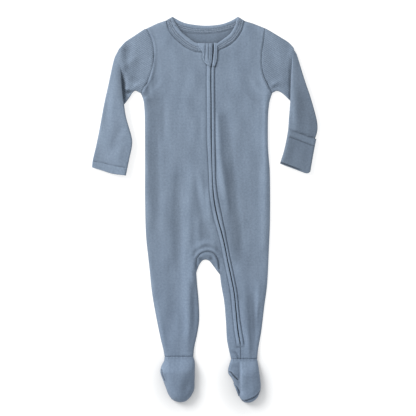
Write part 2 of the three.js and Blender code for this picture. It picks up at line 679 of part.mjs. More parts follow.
const FEET = {
  right: {
    ankle: ANKLE_RIGHT_Y - SEAM_GAP,
    height: 16,
    left: through([-63.5, -236.3], [-64.5, -243], [-68.5, -250], [-70.5, -258.5], [-69.5, -265], [-66, -274],
      [-62, -285], [-58, -296]),
    right: through([-18, -236.3], [-15.8, -246], [-15.8, -262], [-16.2, -277], [-17, -289], [-22, -299]),
    toe: through([-58, -296], [-52, -303.5], [-45, -306.8], [-38, -308], [-29, -305.5], [-22, -299]),
  },
  left: {
    ankle: ANKLE_LEFT_Y - SEAM_GAP,
    height: 15,
    left: through([43, -240.3], [39.5, -250], [38, -257], [39, -264], [43.5, -270], [47.5, -279.5], [54, -290]),
    right: through([84, -240.3], [86, -249], [88, -259], [89, -270], [89.8, -281], [89, -291]),
    toe: through([54, -290], [56, -300], [62, -306.5], [69, -308.5], [77, -306.5], [84, -300], [89, -291]),
  },
};
const FOOT_CREASES = columns('x y0 y1 width depth', [
  [55.5, -246, -292, 4.5, 4],
  [-26, -276, -300, 6, 2.2],
]);

function footHeight(foot) {
  const lines = [foot.left, foot.right, foot.toe].map(sampled);
  return (x, y) => {
    const rise = THREE.MathUtils.smoothstep(foot.ankle - y, 0, FOOT_RISE_LENGTH);
    const roll = EDGE_ROLL + (FOOT_ROLL - EDGE_ROLL) * rise;
    const share = roundShare(distanceTo(lines, x, y), roll);
    let top = FRONT_TOP + (foot.height - FRONT_TOP) * rise;
    for (const { x: at, y0, y1, width, depth } of FOOT_CREASES) {
      const past = Math.max(0, y - y0, y1 - y) / (1.5 * width);
      top -= depth * rise * Math.exp(-(((x - at) / width) ** 2) - past ** 2);
    }
    return FOOT_FLOOR + (top - FOOT_FLOOR) * share;
  };
}

const FOOT_ACROSS = [0, 0.02, 0.06, 0.13, 0.24, 0.37, 0.5, 0.63, 0.76, 0.87, 0.94, 0.98, 1];
const FOOT_DOWN = [0, 0.1, 0.2, 0.3, 0.42, 0.54, 0.66, 0.77, 0.86, 0.93, 0.975, 1];

const footPatch = ({ left, right, toe }) => patch({ left, right, bottom: toe, top: straight(left(0), right(0)) });

const footUpper = (foot) => cloth(
  new FlatMesh().block(footPatch(foot), FOOT_ACROSS, FOOT_DOWN),
  { height: footHeight(foot), wall: FOOT_WALL, floor: () => FOOT_FLOOR },
);
const footSole = (foot) => slab(
  new FlatMesh().block(footPatch(foot), [0, 0.1, 0.3, 0.5, 0.7, 0.9, 1], evenly(9)), 0, SOLE_WALL,
);

// Zip pieces
const GUARD_LEVEL = FRONT_TOP + PLACKET_RAISE + SEAM_GAP;

function zipTape() {
  const place = (u, v) => {
    const y = TAPE_START_Y + (TAPE_END_Y - TAPE_START_Y) * v;
    return [zipLine(y) + TAPE_HALF * (2 * u - 1), y];
  };
  return slab(new FlatMesh().block(place, [0, 1], evenly(TAPE_STEPS)), TAPE_BOTTOM, TAPE_TOP);
}

function zipSlider() {
  const height = SLIDER.top - SLIDER.bottom;
  const geometry = new THREE.BoxGeometry(SLIDER.width, SLIDER.length, height, 1, 1, 1);
  return geometry.translate(zipLine(SLIDER.y), SLIDER.y, SLIDER.bottom + height / 2);
}

function zipGuard() {
  const edges = patch({
    top: straight([-10.5, 266], [13, 266]),
    left: through([-10.5, 266], [-8.5, 259.5], [-4, 253], [-3.2, 247], [-3.5, 241]),
    right: through([13, 266], [12.8, 250], [12.3, 238], [10.5, 229]),
    bottom: through([-3.5, 241], [-1.5, 237], [2.5, 232.5], [10.5, 229]),
  });
  return slab(new FlatMesh().block(edges, evenly(4), evenly(8)), GUARD_LEVEL, GUARD_LEVEL + WALL);
}

function zipGuardStrip() {
  const edges = patch({
    top: straight([15.4, 266.5], [20, 266.5]),
    left: through([15.4, 266.5], [15.2, 250], [14.4, 238], [14.8, 230]),
    right: through([20, 266.5], [20.5, 252.5], [20, 240], [17.5, 230]),
    bottom: straight([14.8, 230], [17.5, 230]),
  });
  return slab(new FlatMesh().block(edges, evenly(2), evenly(8)), GUARD_LEVEL, GUARD_LEVEL + WALL);
}

// Materials
const knit = (color) => new THREE.MeshStandardMaterial({ color, roughness: 0.95, metalness: 0 });
const KNIT_BLUE = 0x8091a8;
const KNIT_SHADE = 0x73839a;
const ZIP_GREY = 0x8f9bab;

const garment = new THREE.Group();

function addPiece(name, geometry, color = KNIT_BLUE) {
  geometry.computeVertexNormals();
  const mesh = new THREE.Mesh(geometry, knit(color));
  mesh.name = name;
  garment.add(mesh);
}

addPiece('back', back(), KNIT_SHADE);
addPiece('front_right', frontRight());
addPiece('front_left', frontLeft());
addPiece('gusset', gusset());
addPiece('neck_band_back', neckBand(NECK_BACK, BAND_BACK, 0, RIB_WALL));
addPiece('neck_band_front_right', neckBand(NECK_FRONT_RIGHT, BAND_FRONT_RIGHT, BAND_LEVEL, RIB_WALL));
addPiece('neck_band_front_left', neckBand(NECK_FRONT_LEFT, BAND_FRONT_LEFT, BAND_LEVEL, RIB_WALL));
addPiece('zip_tape', zipTape(), ZIP_GREY);
addPiece('zip_slider', zipSlider(), ZIP_GREY);
addPiece('zip_guard', zipGuard());
addPiece('zip_guard_strip', zipGuardStrip());
addPiece('sleeve_right_upper', upperSleeve(UPPER_RIGHT));
addPiece('sleeve_right_lower', lowerSleeve(LOWER_RIGHT));
addPiece('sleeve_left_upper', upperSleeve(UPPER_LEFT));
addPiece('sleeve_left_lower', lowerSleeve(LOWER_LEFT));
addPiece('mitten_left', mittenLeft());
addPiece('mitten_right', mittenRight());
for (const side of ['right', 'left']) {
  addPiece(`foot_upper_${side}`, footUpper(FEET[side]));
  addPiece(`foot_sole_${side}`, footSole(FEET[side]), KNIT_SHADE);
}

export default garment;
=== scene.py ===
# The looks of a footed baby sleepsuit in a fine rib knit, laid flat on its back on a pale floor.
# Sizes are millimetres until a mesh is made. +Y points to the neck, +Z is up, and the wearer's right is at -X.
import math

import bpy
import numpy as np
from mathutils.bvhtree import BVHTree
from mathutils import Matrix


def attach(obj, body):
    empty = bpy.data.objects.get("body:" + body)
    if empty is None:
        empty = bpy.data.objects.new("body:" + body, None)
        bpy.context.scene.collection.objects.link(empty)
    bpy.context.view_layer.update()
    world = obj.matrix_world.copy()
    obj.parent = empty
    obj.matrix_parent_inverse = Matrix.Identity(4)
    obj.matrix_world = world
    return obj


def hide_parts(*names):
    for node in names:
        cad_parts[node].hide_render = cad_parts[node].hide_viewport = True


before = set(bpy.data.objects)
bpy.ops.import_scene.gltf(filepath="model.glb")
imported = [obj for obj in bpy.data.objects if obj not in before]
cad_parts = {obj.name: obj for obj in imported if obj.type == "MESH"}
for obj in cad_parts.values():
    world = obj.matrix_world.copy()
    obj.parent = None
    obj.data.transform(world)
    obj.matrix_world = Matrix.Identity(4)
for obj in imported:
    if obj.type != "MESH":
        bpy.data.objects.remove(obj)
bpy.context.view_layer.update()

MM = 0.001

# Cloth
WALL = 1.2
SEAM_GAP = 0.3
FRONT_FLOOR = WALL + SEAM_GAP
FRONT_TOP = 4.8
EDGE_ROLL = 7.0
GRID = 2.6
EDGE_STEPS = (0.0, 0.3, 0.8, 1.5, 2.5, 3.9, 5.6)

# Levels down the body
UNDERARM_Y = 186.0
CROTCH_Y = -95.0
ANKLE_RIGHT_Y = -236.0
ANKLE_LEFT_Y = -240.0
ARCH_REACH = 60.0
PAST_ANKLE = 8

# Depth of the folds on the body and on the sleeves, and how far the body's go down and up
BODY_FOLD_DEPTH = 1.75
BODY_FOLD_LIMITS = (-2.4, 3.4)
SLEEVE_FOLD_DEPTH = 1.5
# Painted light and shade on the body's folds: ridges painted lighter and troughs darker, per millimetre of fold height
FOLD_SHADING_PAINT = 0.052

# Rows of the panels' meshes
YOKE_ROWS, TORSO_ROWS, LEG_ROWS = 38, 96, 52
FRONT_TORSO_ROWS = 126
BACK_YOKE_ROWS, BACK_TORSO_ROWS, BACK_LEG_ROWS = 36, 60, 30

# Zip
ZIP_TOP_Y = 251.0
ZIP_END_Y = -216.0
PLACKET_RIGHT = 6.2
PLACKET_LEFT = 7.0
TAPE_TOP = 2.6
TAPE_HALF = 9
OVER_TAPE = 13
SLOT_HALF, SLOT_CLOSED = 0.74, 0.1

# Colours, linear
BLUE_LIGHT = (0.222, 0.277, 0.353)
BLUE_DARK = (0.142, 0.184, 0.244)
BLUER = (1.035, 1.055, 1.09)
THREAD_BLUE = (0.380, 0.450, 0.550)
TOPSTITCH_BLUE = (0.195, 0.245, 0.320)
# The zip's tape and teeth: a real zip, coloured very dark as painted shade for the narrow slot between the stitched
# edges
ZIP_BLUE_SHADED = (0.050, 0.070, 0.100)
TEETH_BLUE_SHADED = (0.085, 0.112, 0.150)
STOP_GREY = (0.42, 0.46, 0.50)


# Curves and lines

def spline(rows):
    """A smooth line through (place, value) rows, as a function of place."""
    table = np.array(sorted(rows), float)
    keys, values = table[:, 0], table[:, 1]
    slopes = np.empty(len(keys))
    slopes[1:-1] = (values[2:] - values[:-2]) / (keys[2:] - keys[:-2])
    slopes[0] = (values[1] - values[0]) / (keys[1] - keys[0])
    slopes[-1] = (values[-1] - values[-2]) / (keys[-1] - keys[-2])

    def at(place):
        place = np.clip(np.asarray(place, float), keys[0], keys[-1])
        i = np.clip(np.searchsorted(keys, place) - 1, 0, len(keys) - 2)
        span = keys[i + 1] - keys[i]
        t = (place - keys[i]) / span
        return (values[i] * (2 * t**3 - 3 * t**2 + 1) + values[i + 1] * (3 * t**2 - 2 * t**3)
                + slopes[i] * span * (t**3 - 2 * t**2 + t) + slopes[i + 1] * span * (t**3 - t**2))

    return at


def through(*points):
    """A smooth curve through points, as a function from 0 to 1 by its length."""
    p = np.array(points, float)
    p = np.vstack([2 * p[0] - p[1], p, 2 * p[-1] - p[-2]])
    t = np.linspace(0, 1, 40, endpoint=False)[:, None]
    parts = []
    for a, b, c, d in zip(p[:-3], p[1:-2], p[2:-1], p[3:]):
        parts.append(0.5 * (2 * b + (c - a) * t + (2 * a - 5 * b + 4 * c - d) * t**2
                            + (3 * b - 3 * c + d - a) * t**3))
    dense = np.vstack(parts + [p[-2:-1]])
    return by_length(dense)


def by_length(dense):
    run = np.concatenate([[0], np.cumsum(np.linalg.norm(np.diff(dense, axis=0), axis=1))])
    run /= run[-1]
    return lambda t: np.stack([np.interp(t, run, dense[:, k]) for k in range(dense.shape[1])], -1)


def straight(a, b):
    return through(a, b)


def cornered(first, second, share):
    """Two curves end to end, with the corner at a share of the whole."""
    def at(t):
        t = np.asarray(t, float)[..., None]
        one = first(np.clip(t[..., 0] / share, 0, 1))
        two = second(np.clip((t[..., 0] - share) / (1 - share), 0, 1))
        return np.where(t < share, one, two)
    return at


def down_line(line, top, bottom):
    return lambda t: np.stack([line(top + (bottom - top) * t), top + (bottom - top) * np.asarray(t, float)], -1)


def coons(top, bottom, left, right):
    """A patch between four edges: u from left to right, v from top to bottom."""
    def at(u, v):
        u, v = np.asarray(u, float), np.asarray(v, float)
        uu, vv = u[..., None], v[..., None]
        corners = ((1 - uu) * (1 - vv) * top(0.0) + uu * (1 - vv) * top(1.0)
                   + (1 - uu) * vv * bottom(0.0) + uu * vv * bottom(1.0))
        return (1 - vv) * top(u) + vv * bottom(u) + (1 - uu) * left(v) + uu * right(v) - corners
    return at


def smoothstep(value, start, end):
    t = np.clip((np.asarray(value, float) - start) / (end - start), 0, 1)
    return t * t * (3 - 2 * t)


def round_share(distance, radius):
    return np.sqrt(1 - (1 - np.clip(np.asarray(distance) / radius, 0, 1)) ** 2)


def distance_to(curves, x, y):
    """Distance from each point to the nearest of several sampled curves."""
    shape = np.shape(x)
    p = np.stack([np.ravel(x), np.ravel(y)], -1)
    least = np.full(len(p), np.inf)
    for line in curves:
        for a, b in zip(line[:-1], line[1:]):
            ab = b - a
            t = np.clip(((p - a) @ ab) / max(ab @ ab, 1e-9), 0, 1)
            least = np.minimum(least, np.hypot(*(p - a - t[:, None] * ab).T))
    return least.reshape(shape)


def sampled(curve, count=60):
    return curve(np.linspace(0, 1, count))


# Outline of the body: (y, x) of each long line, from top to bottom
side_right = spline([
    (186, -102.3), (180, -99.6), (172, -97.4), (150, -95.8), (80, -95.4), (15, -95.4), (-42, -93.8), (-81, -89.8),
    (-95, -88.2), (-132, -84.4), (-170, -78), (-209, -70), (-225, -66), (-236, -64),
])
side_left = spline([
    (190, 110), (186, 108.5), (178, 105.8), (170, 103.9), (150, 102), (98, 102.1), (60, 104.8), (-17, 105.1),
    (-65, 103.3), (-120, 100.5), (-158, 95.6), (-196, 91), (-225, 86), (-240, 84.4),
])
inside_right = spline([
    (-95, -13.6), (-120, -11.8), (-145, -9.5), (-177, -8.5), (-199, -11.5), (-222, -16.5), (-236, -18),
])
inside_left = spline([
    (-95, 23.8), (-120, 26.6), (-148, 31.5), (-183, 34.5), (-209, 36), (-225, 39.1), (-240, 42.6),
])
zip_line = spline([
    (267, 15.5), (251, 14), (230, 10.8), (205, 10.2), (175, 10.5), (106, 11), (34, 13.5), (8, 16.5), (-17, 21.8),
    (-37, 27.4), (-55, 31.8), (-80, 36.7), (-105, 42), (-133, 47.5), (-162, 50.5), (-193, 53.5), (-218, 57.5),
    (-240, 58.5),
])

# Crotch seam, from the right leg's inseam over to the left leg's
ARCH = through((-13.6, -95), (-13.4, -86), (-11.8, -78), (-6, -71), (1.5, -67.8), (9, -67.8), (16.5, -71.5),
               (21.8, -80.5), (23.4, -88), (23.8, -95))
GUSSET_EDGE = through((-13.4, -103), (-11.5, -97), (-8, -88.5), (-2, -81.5), (6.5, -82), (13, -89.2),
                      (20, -98.8), (24.8, -104.8))

# Shoulders, armholes and necklines
SHOULDER_RIGHT = through((-93.5, 289.6), (-77.5, 297.2), (-61, 303))
SHOULDER_LEFT = through((64, 302), (81, 296.8), (97.5, 290.2))
ARMHOLE_RIGHT = through((-93.5, 289.6), (-85.5, 273.5), (-82, 258), (-83, 235), (-88.5, 212), (-102.3, 186))
ARMHOLE_LEFT = through((97.5, 290.2), (94.5, 269.5), (91.5, 249), (92, 226), (96, 209),
                       (float(side_left(UNDERARM_Y)), UNDERARM_Y))
NECK_FRONT_RIGHT = through((-61, 303), (-57.5, 289.5), (-49.5, 277), (-39, 267.5), (-28, 259), (-16, 253.5),
                           (-5.5, 252), (13.05, 251))
NECK_FRONT_LEFT = through((14.95, 251), (23, 255), (34, 260.5), (45.5, 267.5), (54.5, 278.5), (61, 289.5),
                          (64, 302))
NECK_BACK = through((-61, 303), (-52, 294), (-36.5, 287), (-21, 283), (2, 282), (25, 284.5), (46, 290.5),
                    (57, 295.5), (64, 302))
BAND_FRONT_RIGHT = through((-51, 308.5), (-47, 299.5), (-39, 287), (-30, 278.5), (-21, 271.5), (-10.5, 266),
                           (12.8, 264.5))
BAND_FRONT_LEFT = through((17.5, 263.5), (23, 267.5), (30.5, 273), (41.5, 282), (49, 295), (51, 303),
                          (53.5, 308.5))
BAND_BACK = through((-51, 308.8), (-39, 302), (-25.5, 297.6), (0.5, 294.7), (25, 296.6), (41.5, 302),
                    (53.5, 308.8))

# Folds

# The main folds, each a soft ridge or trough along a bent line: x0, y0, bend x, bend y, x1, y1, width, height
BODY_FOLDS = [
    (-27, 10, -27, -84, -26, -200, 7.5, 2.5),
    (-43, 50, -44, -10, -43, -95, 6.5, -1.9),
    (-60, 20, -62, -50, -57, -120, 10.0, 0.5),
    (-54, -85, -52, -140, -50, -195, 8.0, -0.9),
    (-38, -150, -36, -180, -38, -225, 7.0, -0.5),
    (-75, -150, -69, -190, -63, -226, 3.5, 0.8),
    (-19, -62, -21.5, -85, -18, -120, 4.0, 1.5),
    (-25, -66, -27.5, -92, -24, -122, 3.5, -0.9),
    (-14, -62, 4, -53, 20, -60, 4.5, 1.2),
    (-9, 62, -3, 24, 4, -14, 5.5, 1.4),
    (-14, 50, -9, 15, -1, -25, 5.0, -0.5),
    (3, -12, 12, -34, 24, -56, 6.0, 0.6),
    (6, -18, 5, -36, 8, -52, 9.0, -0.9),
    (26, 82, 33, 30, 39, -2, 4.5, 1.7),
    (33, 145, 46, 22, 55, -80, 7.2, -3.1),
    (-1, 152, -1, 127, -1, 102, 4.0, 0.9),
    (21, 150, 23.5, 80, 30, 18, 4.2, 2.1),
    (6.5, 32, 7.5, 5, 11, -20, 4.0, 2.2),
    (-17, 78, -22, 40, -26, 0, 8.0, 1.3),
    (20, -40, 24, -66, 28, -112, 5.0, -1.5),
    (-91, 206, -90, 192, -87, 176, 3.5, -1.2),
    (-18, -120, -17.5, -175, -21, -226, 4.5, -2.2),
    (-10, -16, -10, -40, -10, -62, 5.0, 0.8),
    (87, 178, 87, 130, 87, 82, 5.0, 0.9),
    (87, -116, 86, -145, 84, -178, 4.0, 0.9),
    (52, -12, 55, -46, 58, -84, 9.0, -1.1),
    (46, -34, 52, -66, 58, -104, 5.0, 0.6),
    (70, -66, 72, -130, 77, -200, 9.0, -0.9),
    (64, -110, 66, -160, 70, -215, 5.0, 0.6),
    (97, 228, 97, 80, 95, -60, 5.5, 2.0),
    (-79, 205, -79.5, 100, -78, -30, 7.5, -2.1),
    (-62, 190, -58, 150, -50, 90, 10.0, 0.4),
    (-67, 176, -67, 148, -66, 112, 6.0, -1.7),
    (-84, 255, -78, 238, -79, 214, 5.0, -0.8),
    (-102, 184, -97, 182, -90, 184, 2.2, -1.6),
    (-100, 178.5, -95, 178, -88, 180, 2.0, 1.0),
    (-96, 176, -84, 184, -68, 204, 4.5, 0.8),
    (-92, 166, -80, 170, -66, 182, 5.0, -0.8),
    (-20, 228, -26, 180, -24, 120, 14.0, 0.5),
    (44, 226, 50, 180, 48, 110, 14.0, 0.5),
    (66, 190, 60, 150, 58, 100, 10.0, -0.5),
    (99, 184, 90, 186, 76, 208, 4.5, 0.9),
    (96, 172, 86, 172, 72, 186, 5.0, -0.7),
    (-50, 290, -58, 276, -66, 262, 7.0, 0.5),
    (64, 288, 70, 272, 76, 258, 7.0, 0.5),
    (38, -206, 43, -218, 54, -232, 3.2, 1.1),
    (36, -200, 40, -215, 50, -232, 2.6, -0.8),
    (66, -190, 68, -210, 70, -232, 5.0, 0.8),
    (76, -140, 78, -188, 78, -237, 4.5, -2.7),
    (60, -150, 61, -175, 63, -205, 5.0, 1.1),
    (90, -150, 88, -170, 86, -190, 4.0, -0.9),
]
SLEEVE_FOLDS = [
    (-106, 276, -114, 250, -124, 232, 6.0, 0.6),
    (-98, 250, -108, 226, -118, 200, 7.0, -0.6),
    (-133, 240, -128, 222, -121, 200, 5.5, 1.3),
    (-128, 214, -124, 202, -113, 196, 4.0, 0.9),
    (-128, 197, -123, 192.5, -117, 191, 2.2, 2.0),
    (-126, 190, -121, 187, -115, 187, 2.0, -2.0),
    (-112, 192, -106, 199, -97, 202, 4.5, 0.9),
    (-104, 204, -110, 208, -118, 206, 5.0, -0.8),
    (-122, 190, -124, 182, -128, 174, 3.0, 0.9),
    (-118, 196, -121, 190, -125, 178, 2.6, -0.9),
    (112, 270, 118, 246, 122, 226, 7.0, 0.5),
    (104, 246, 112, 224, 118, 204, 7.0, -0.5),
    (110, 196, 116, 203, 124, 206, 4.5, 0.9),
    (120, 194, 126, 196, 132, 190, 4.0, -0.7),
    (105, 196, 109, 200, 116, 204, 2.4, 1.0),
    (108, 192.5, 113, 196, 120, 198, 2.2, -1.0),
    (-101, 196, -106, 199, -112, 199, 2.2, 0.8),
    (-128, 232, -118, 236, -108, 244, 5.0, 0.8),
]
LOWER_FOLDS = [
    (-148, 196, -148, 160, -146, 128, 7.0, 0.7),
    (-160, 150, -164, 120, -168, 92, 7.0, 0.5),
    (-134, 128, -142, 112, -150, 92, 6.0, -0.7),
    (-126, 108, -134, 96, -140, 78, 5.0, 0.6),
    (-124, 130, -130, 118, -138, 108, 5.0, 0.6),
    (150, 190, 156, 160, 160, 134, 7.0, -0.6),
    (143, 160, 148, 142, 152, 124, 5.0, 0.5),
    (164, 150, 168, 136, 168, 122, 5.0, 0.5),
    (146, 104, 142, 92, 140, 76, 6.0, -0.6),
    (160, 108, 158, 92, 156, 72, 7.0, 0.5),
]


def folds_at(folds, x, y):
    rise = np.zeros(np.shape(x))
    for x0, y0, bx, by, x1, y1, width, height in folds:
        points = through((x0, y0), (bx, by), (x1, y1))(np.linspace(0, 1, 9))
        spread = 2.2 * width
        near = ((x > points[:, 0].min() - spread) & (x < points[:, 0].max() + spread)
                & (y > points[:, 1].min() - 3 * spread) & (y < points[:, 1].max() + 3 * spread))
        if not near.any():
            continue
        p = np.stack([x[near], y[near]], -1)
        best, share = np.full(len(p), np.inf), np.zeros(len(p))
        for i, (a, b) in enumerate(zip(points[:-1], points[1:])):
            ab = b - a
            t = np.clip(((p - a) @ ab) / (ab @ ab), 0, 1)
            away = np.hypot(*(p - a - t[:, None] * ab).T)
            closer = away < best
            best[closer] = away[closer]
            share[closer] = (i + t[closer]) / (len(points) - 1)
        fade = np.sin(np.pi * np.clip(0.08 + 0.84 * share, 0, 1)) ** 0.7
        rise[near] += height * fade * np.exp(-((best / width) ** 2))
    return rise


RIPPLES = np.random.default_rng(7).uniform(size=(14, 4))


def ripples(x, y):
    """Low unevenness of cloth that has been smoothed by hand."""
    total = np.zeros(np.shape(x))
    for a, b, c, d in RIPPLES:
        across = 2 * math.pi / (22 + 50 * a) * (1 if b > 0.5 else -1)
        along = 2 * math.pi / (60 + 120 * c)
        total += (0.35 + 0.65 * b) * np.sin(across * x + along * y + 20 * d + 1.3 * np.sin(y / 47 + 6 * c))
    return 0.16 * total


BODY_EDGES = [sampled(c) for c in (
    SHOULDER_RIGHT,
    SHOULDER_LEFT,
    down_line(side_right, UNDERARM_Y, ANKLE_RIGHT_Y - PAST_ANKLE),
    down_line(side_left, UNDERARM_Y, ANKLE_LEFT_Y - PAST_ANKLE),
    down_line(inside_right, CROTCH_Y - 5, ANKLE_RIGHT_Y - PAST_ANKLE),
    down_line(inside_left, CROTCH_Y - 5, ANKLE_LEFT_Y - PAST_ANKLE),
    GUSSET_EDGE,
)]
ARMHOLES = [sampled(ARMHOLE_RIGHT), sampled(ARMHOLE_LEFT)]
NECKLINES = [sampled(NECK_FRONT_RIGHT), sampled(NECK_FRONT_LEFT)]
ARCH_LINE = [sampled(ARCH)]


def soft_limit(value, low, high):
    """Values that level off towards a lowest and a highest one."""
    return np.where(value < 0, low * np.tanh(value / low), high * np.tanh(value / high))


def pucker(distance, along, pitch, depth):
    """Small gathers beside a seam."""
    return depth * np.sin(2 * math.pi * along / pitch + 2.1 * np.sin(along / 9)) * np.exp(-distance / 5)


def bell(distance, width):
    return np.exp(-((distance / width) ** 2))


def bells(distance, *rows):
    """Soft ridges and grooves along a line: how far off it, how wide and how high each one is."""
    return sum(height * bell(distance - off, width) for off, width, height in rows)


def slot_half(y):
    """Half of the zip's slot, which closes up in places and ends under the box of stitches."""
    y = np.asarray(y, float)
    apart = smoothstep(y, ZIP_END_Y - 3, ZIP_END_Y + 2)
    change = bells(y, (126, 14, 0.08), (66, 36, -0.38), (-74, 12, -0.16), (-145, 26, -0.12))
    return SLOT_CLOSED + apart * (SLOT_HALF + change)


def placket_right(y):
    """Width of the stitched edge at the wearer's right of the zip."""
    return PLACKET_RIGHT + 0.9 * smoothstep(y, 84, 108) - 0.4 * bell(y - 55, 26)


def placket_left(y):
    """Width of the stitched edge at the wearer's left, which the cloth's folds narrow and widen."""
    down_leg = smoothstep(-y, 30, 52) - smoothstep(-y, 165, 200)
    return PLACKET_LEFT - 0.6 + bells(y, (48, 15, -0.7), (-4, 22, 1.5)) - 1.4 * down_leg


# The stitched line across the zip's end, the rim of the zip's guard, and a crease above the left ankle
BOX_END = [np.array([(47.5, -221.6), (62.5, -219.0)])]
TAB_LINE = [np.array([(-4.2, 253), (-3.2, 248), (-3.4, 242), (-1.5, 237), (3, 232.2), (9.8, 228), (13.4, 228.5),
                      (17.5, 228.5), (20.4, 240), (21, 251)])]
ANKLE_FOLD = [np.array([(41.9, -211.8), (48.0, -226.0), (55.0, -238.9)])]


def placket(x, y, beside):
    """The turned and stitched edges beside the zip: a soft cord with a groove at its stitch line."""
    at_right = x < zip_line(y)
    width = np.where(at_right, placket_right(y), placket_left(y))
    ends = smoothstep(y, ZIP_END_Y - 4, ZIP_END_Y + 3)
    across = np.clip((beside - slot_half(y)) / (width - slot_half(y)), 0, 1)
    cord = np.sin(math.pi * (0.2 + 0.8 * across)) ** 0.8 * (across < 1) * ends
    groove = bell(beside - width, 0.85) * ends
    box = bell(distance_to(BOX_END, x, y), 0.85)
    seam = bell(beside, 0.8) * smoothstep(-y, -ZIP_END_Y + 5, -ZIP_END_Y + 8)
    clear = np.where(at_right, 0.72 - bells(y, (-8, 28, 0.5), (125, 28, 0.2)), 1.0)
    shade = np.where(at_right, 0.0, 0.15 * smoothstep(across, 0.25, 0.7) * (across < 1) * ends)
    # Painted light and shade: the cord painted lighter, its stitch groove, the box of stitches at the zip's end and
    # the seam below painted darker, and painted shade over the outer part of the left cord
    added_shading = 0.17 * cord - 0.32 * (groove * clear + box) - 0.3 * seam - shade
    return 1.2 * cord - 1.1 * groove * clear - 1.1 * box - 0.8 * seam, added_shading


def front_relief(x, y):
    """Height of the front's cloth, and its painted light and shade: how much lighter or darker than plain it is
    painted.
    """
    x, y = np.asarray(x, float), np.asarray(y, float)
    edge = distance_to(BODY_EDGES, x, y)
    share = round_share(edge, EDGE_ROLL)
    beside = np.abs(x - zip_line(y))
    calm = 1 - 0.8 * bell(beside, 7.5)
    deep = BODY_FOLD_DEPTH * folds_at(BODY_FOLDS, x, y) * calm
    waves = ripples(x, y) * calm
    z = FRONT_FLOOR + (FRONT_TOP + soft_limit(deep, *BODY_FOLD_LIMITS) + waves - FRONT_FLOOR) * share
    # Painted light and shade: fold ridges and ripples lighter, troughs darker, and the rolled-off edges darker
    painted_shading = FOLD_SHADING_PAINT * deep + 0.05 * waves - 0.10 * (1 - share) ** 2
    # Painted highlight on the lit side, and painted shade on the inside of the right leg and on the outside of the
    # left leg
    painted_shading += 0.13 * bell(edge - 5, 4.5) * (x > 80) * smoothstep(y, -70, 10)
    painted_shading -= 0.21 * bell(edge - 1, 5.0) * (x < 0) * (x > -32) * smoothstep(-y, 100, 130)
    painted_shading -= 0.12 * bell(edge - 2, 6.0) * (x > 70) * smoothstep(-y, 110, 160)
    rise, added_shading = placket(x, y, beside)
    arm = distance_to(ARMHOLES, x, y)
    neck = distance_to(NECKLINES, x, y)
    arch = distance_to(ARCH_LINE, x, y)
    ankle = np.where(x < 10, y - ANKLE_RIGHT_Y, y - ANKLE_LEFT_Y)
    crease = distance_to(ANKLE_FOLD, x, y)
    at_right = x < 0
    z += rise + bells(arm, (0, 1.0, -0.7)) + bell(arm - 3.0, 1.6) * np.where(at_right, 1.1, 0.3)
    z += pucker(arm, y, 6.5, 0.14) + pucker(neck, x, 7.0, 0.14) + pucker(np.abs(ankle), x, 6.0, 0.25)
    z += bells(neck, (0, 1.3, -1.2)) + bells(arch, (0, 1.1, -0.9), (3.6, 1.9, 0.7), (8.5, 2.2, -0.35))
    z += bells(ankle, (0, 0.9, -0.25)) + bells(crease, (0, 1.6, -2.0))
    # Painted shade in the armhole, neck and crotch seams, at the underarm tuck, in the crease above the left ankle and
    # as the zip tab's shadow, with painted light on the ridges beside them and along the ankle seam
    painted_shading += added_shading + bells(arm, (0, 0.8, -0.2)) + bell(arm - 2.6, 1.3) * np.where(at_right, 0.14, -0.02)
    painted_shading += bells(np.hypot((x + 99.5) / 3.6, (y - 184.5) / 1.8), (0, 1.0, -0.3))
    painted_shading += bells(neck, (0, 1.2, -0.24), (3.5, 1.5, 0.06))
    painted_shading += bells(arch, (0, 0.9, -0.3), (3.6, 1.9, 0.14), (8.5, 2.4, -0.06))
    painted_shading += bells(ankle, (0, 1.2, 0.03)) + bells(distance_to(TAB_LINE, x, y), (0, 1.7, -0.2))
    painted_shading += bells(crease, (0, 1.3, -0.26))
    over = smoothstep(-beside, -OVER_TAPE, -10.5) * (y > ZIP_END_Y - 6)
    return np.maximum(z, FRONT_FLOOR + (TAPE_TOP + 0.4 - FRONT_FLOOR) * over), painted_shading


# Flat meshes

def near_edge(line, side):
    return [lambda y, d=d: line(y) + side * d for d in EDGE_STEPS]


def spaced(a, b, at_y, step=GRID):
    """Lines evenly spread between two lines, a step apart at a level."""
    count = max(int(round(abs(float(b(at_y)) - float(a(at_y))) / step)), 1)
    return [lambda y, s=i / count: a(y) + (b(y) - a(y)) * s for i in range(1, count)]


def blocks_of(*grids):
    """Joins grids of points that share edges into one set of points and quads."""
    points, quads, start = [], [], 0
    for g in grids:
        rows, cols = g.shape[:2]
        points.append(g.reshape(-1, 2))
        i = start + np.arange(rows * cols).reshape(rows, cols)
        quads.append(np.stack([i[:-1, :-1], i[1:, :-1], i[1:, 1:], i[:-1, 1:]], -1).reshape(-1, 4))
        start += rows * cols
    points, quads = np.vstack(points), np.vstack(quads)
    _, first, inverse = np.unique(np.round(points / 0.004).astype(np.int64), axis=0, return_index=True,
                                  return_inverse=True)
    return points[first], inverse.reshape(-1)[quads]


def rim_of(quads):
    edges = np.stack([quads, np.roll(quads, -1, axis=1)], -1).reshape(-1, 2)
    edges = edges[edges[:, 0] != edges[:, 1]]
    back = set(map(tuple, edges[:, ::-1].tolist()))
    return np.array([e for e in edges.tolist() if tuple(e) not in back])


def vertex_normals(points, quads):
    a, b, c, d = (points[quads[:, k]] for k in range(4))
    face = np.cross(c - a, d - b)
    normals = np.zeros_like(points)
    for k in range(4):
        np.add.at(normals, quads[:, k], face)
    length = np.linalg.norm(normals, axis=1, keepdims=True)
    return normals / np.maximum(length, 1e-9)


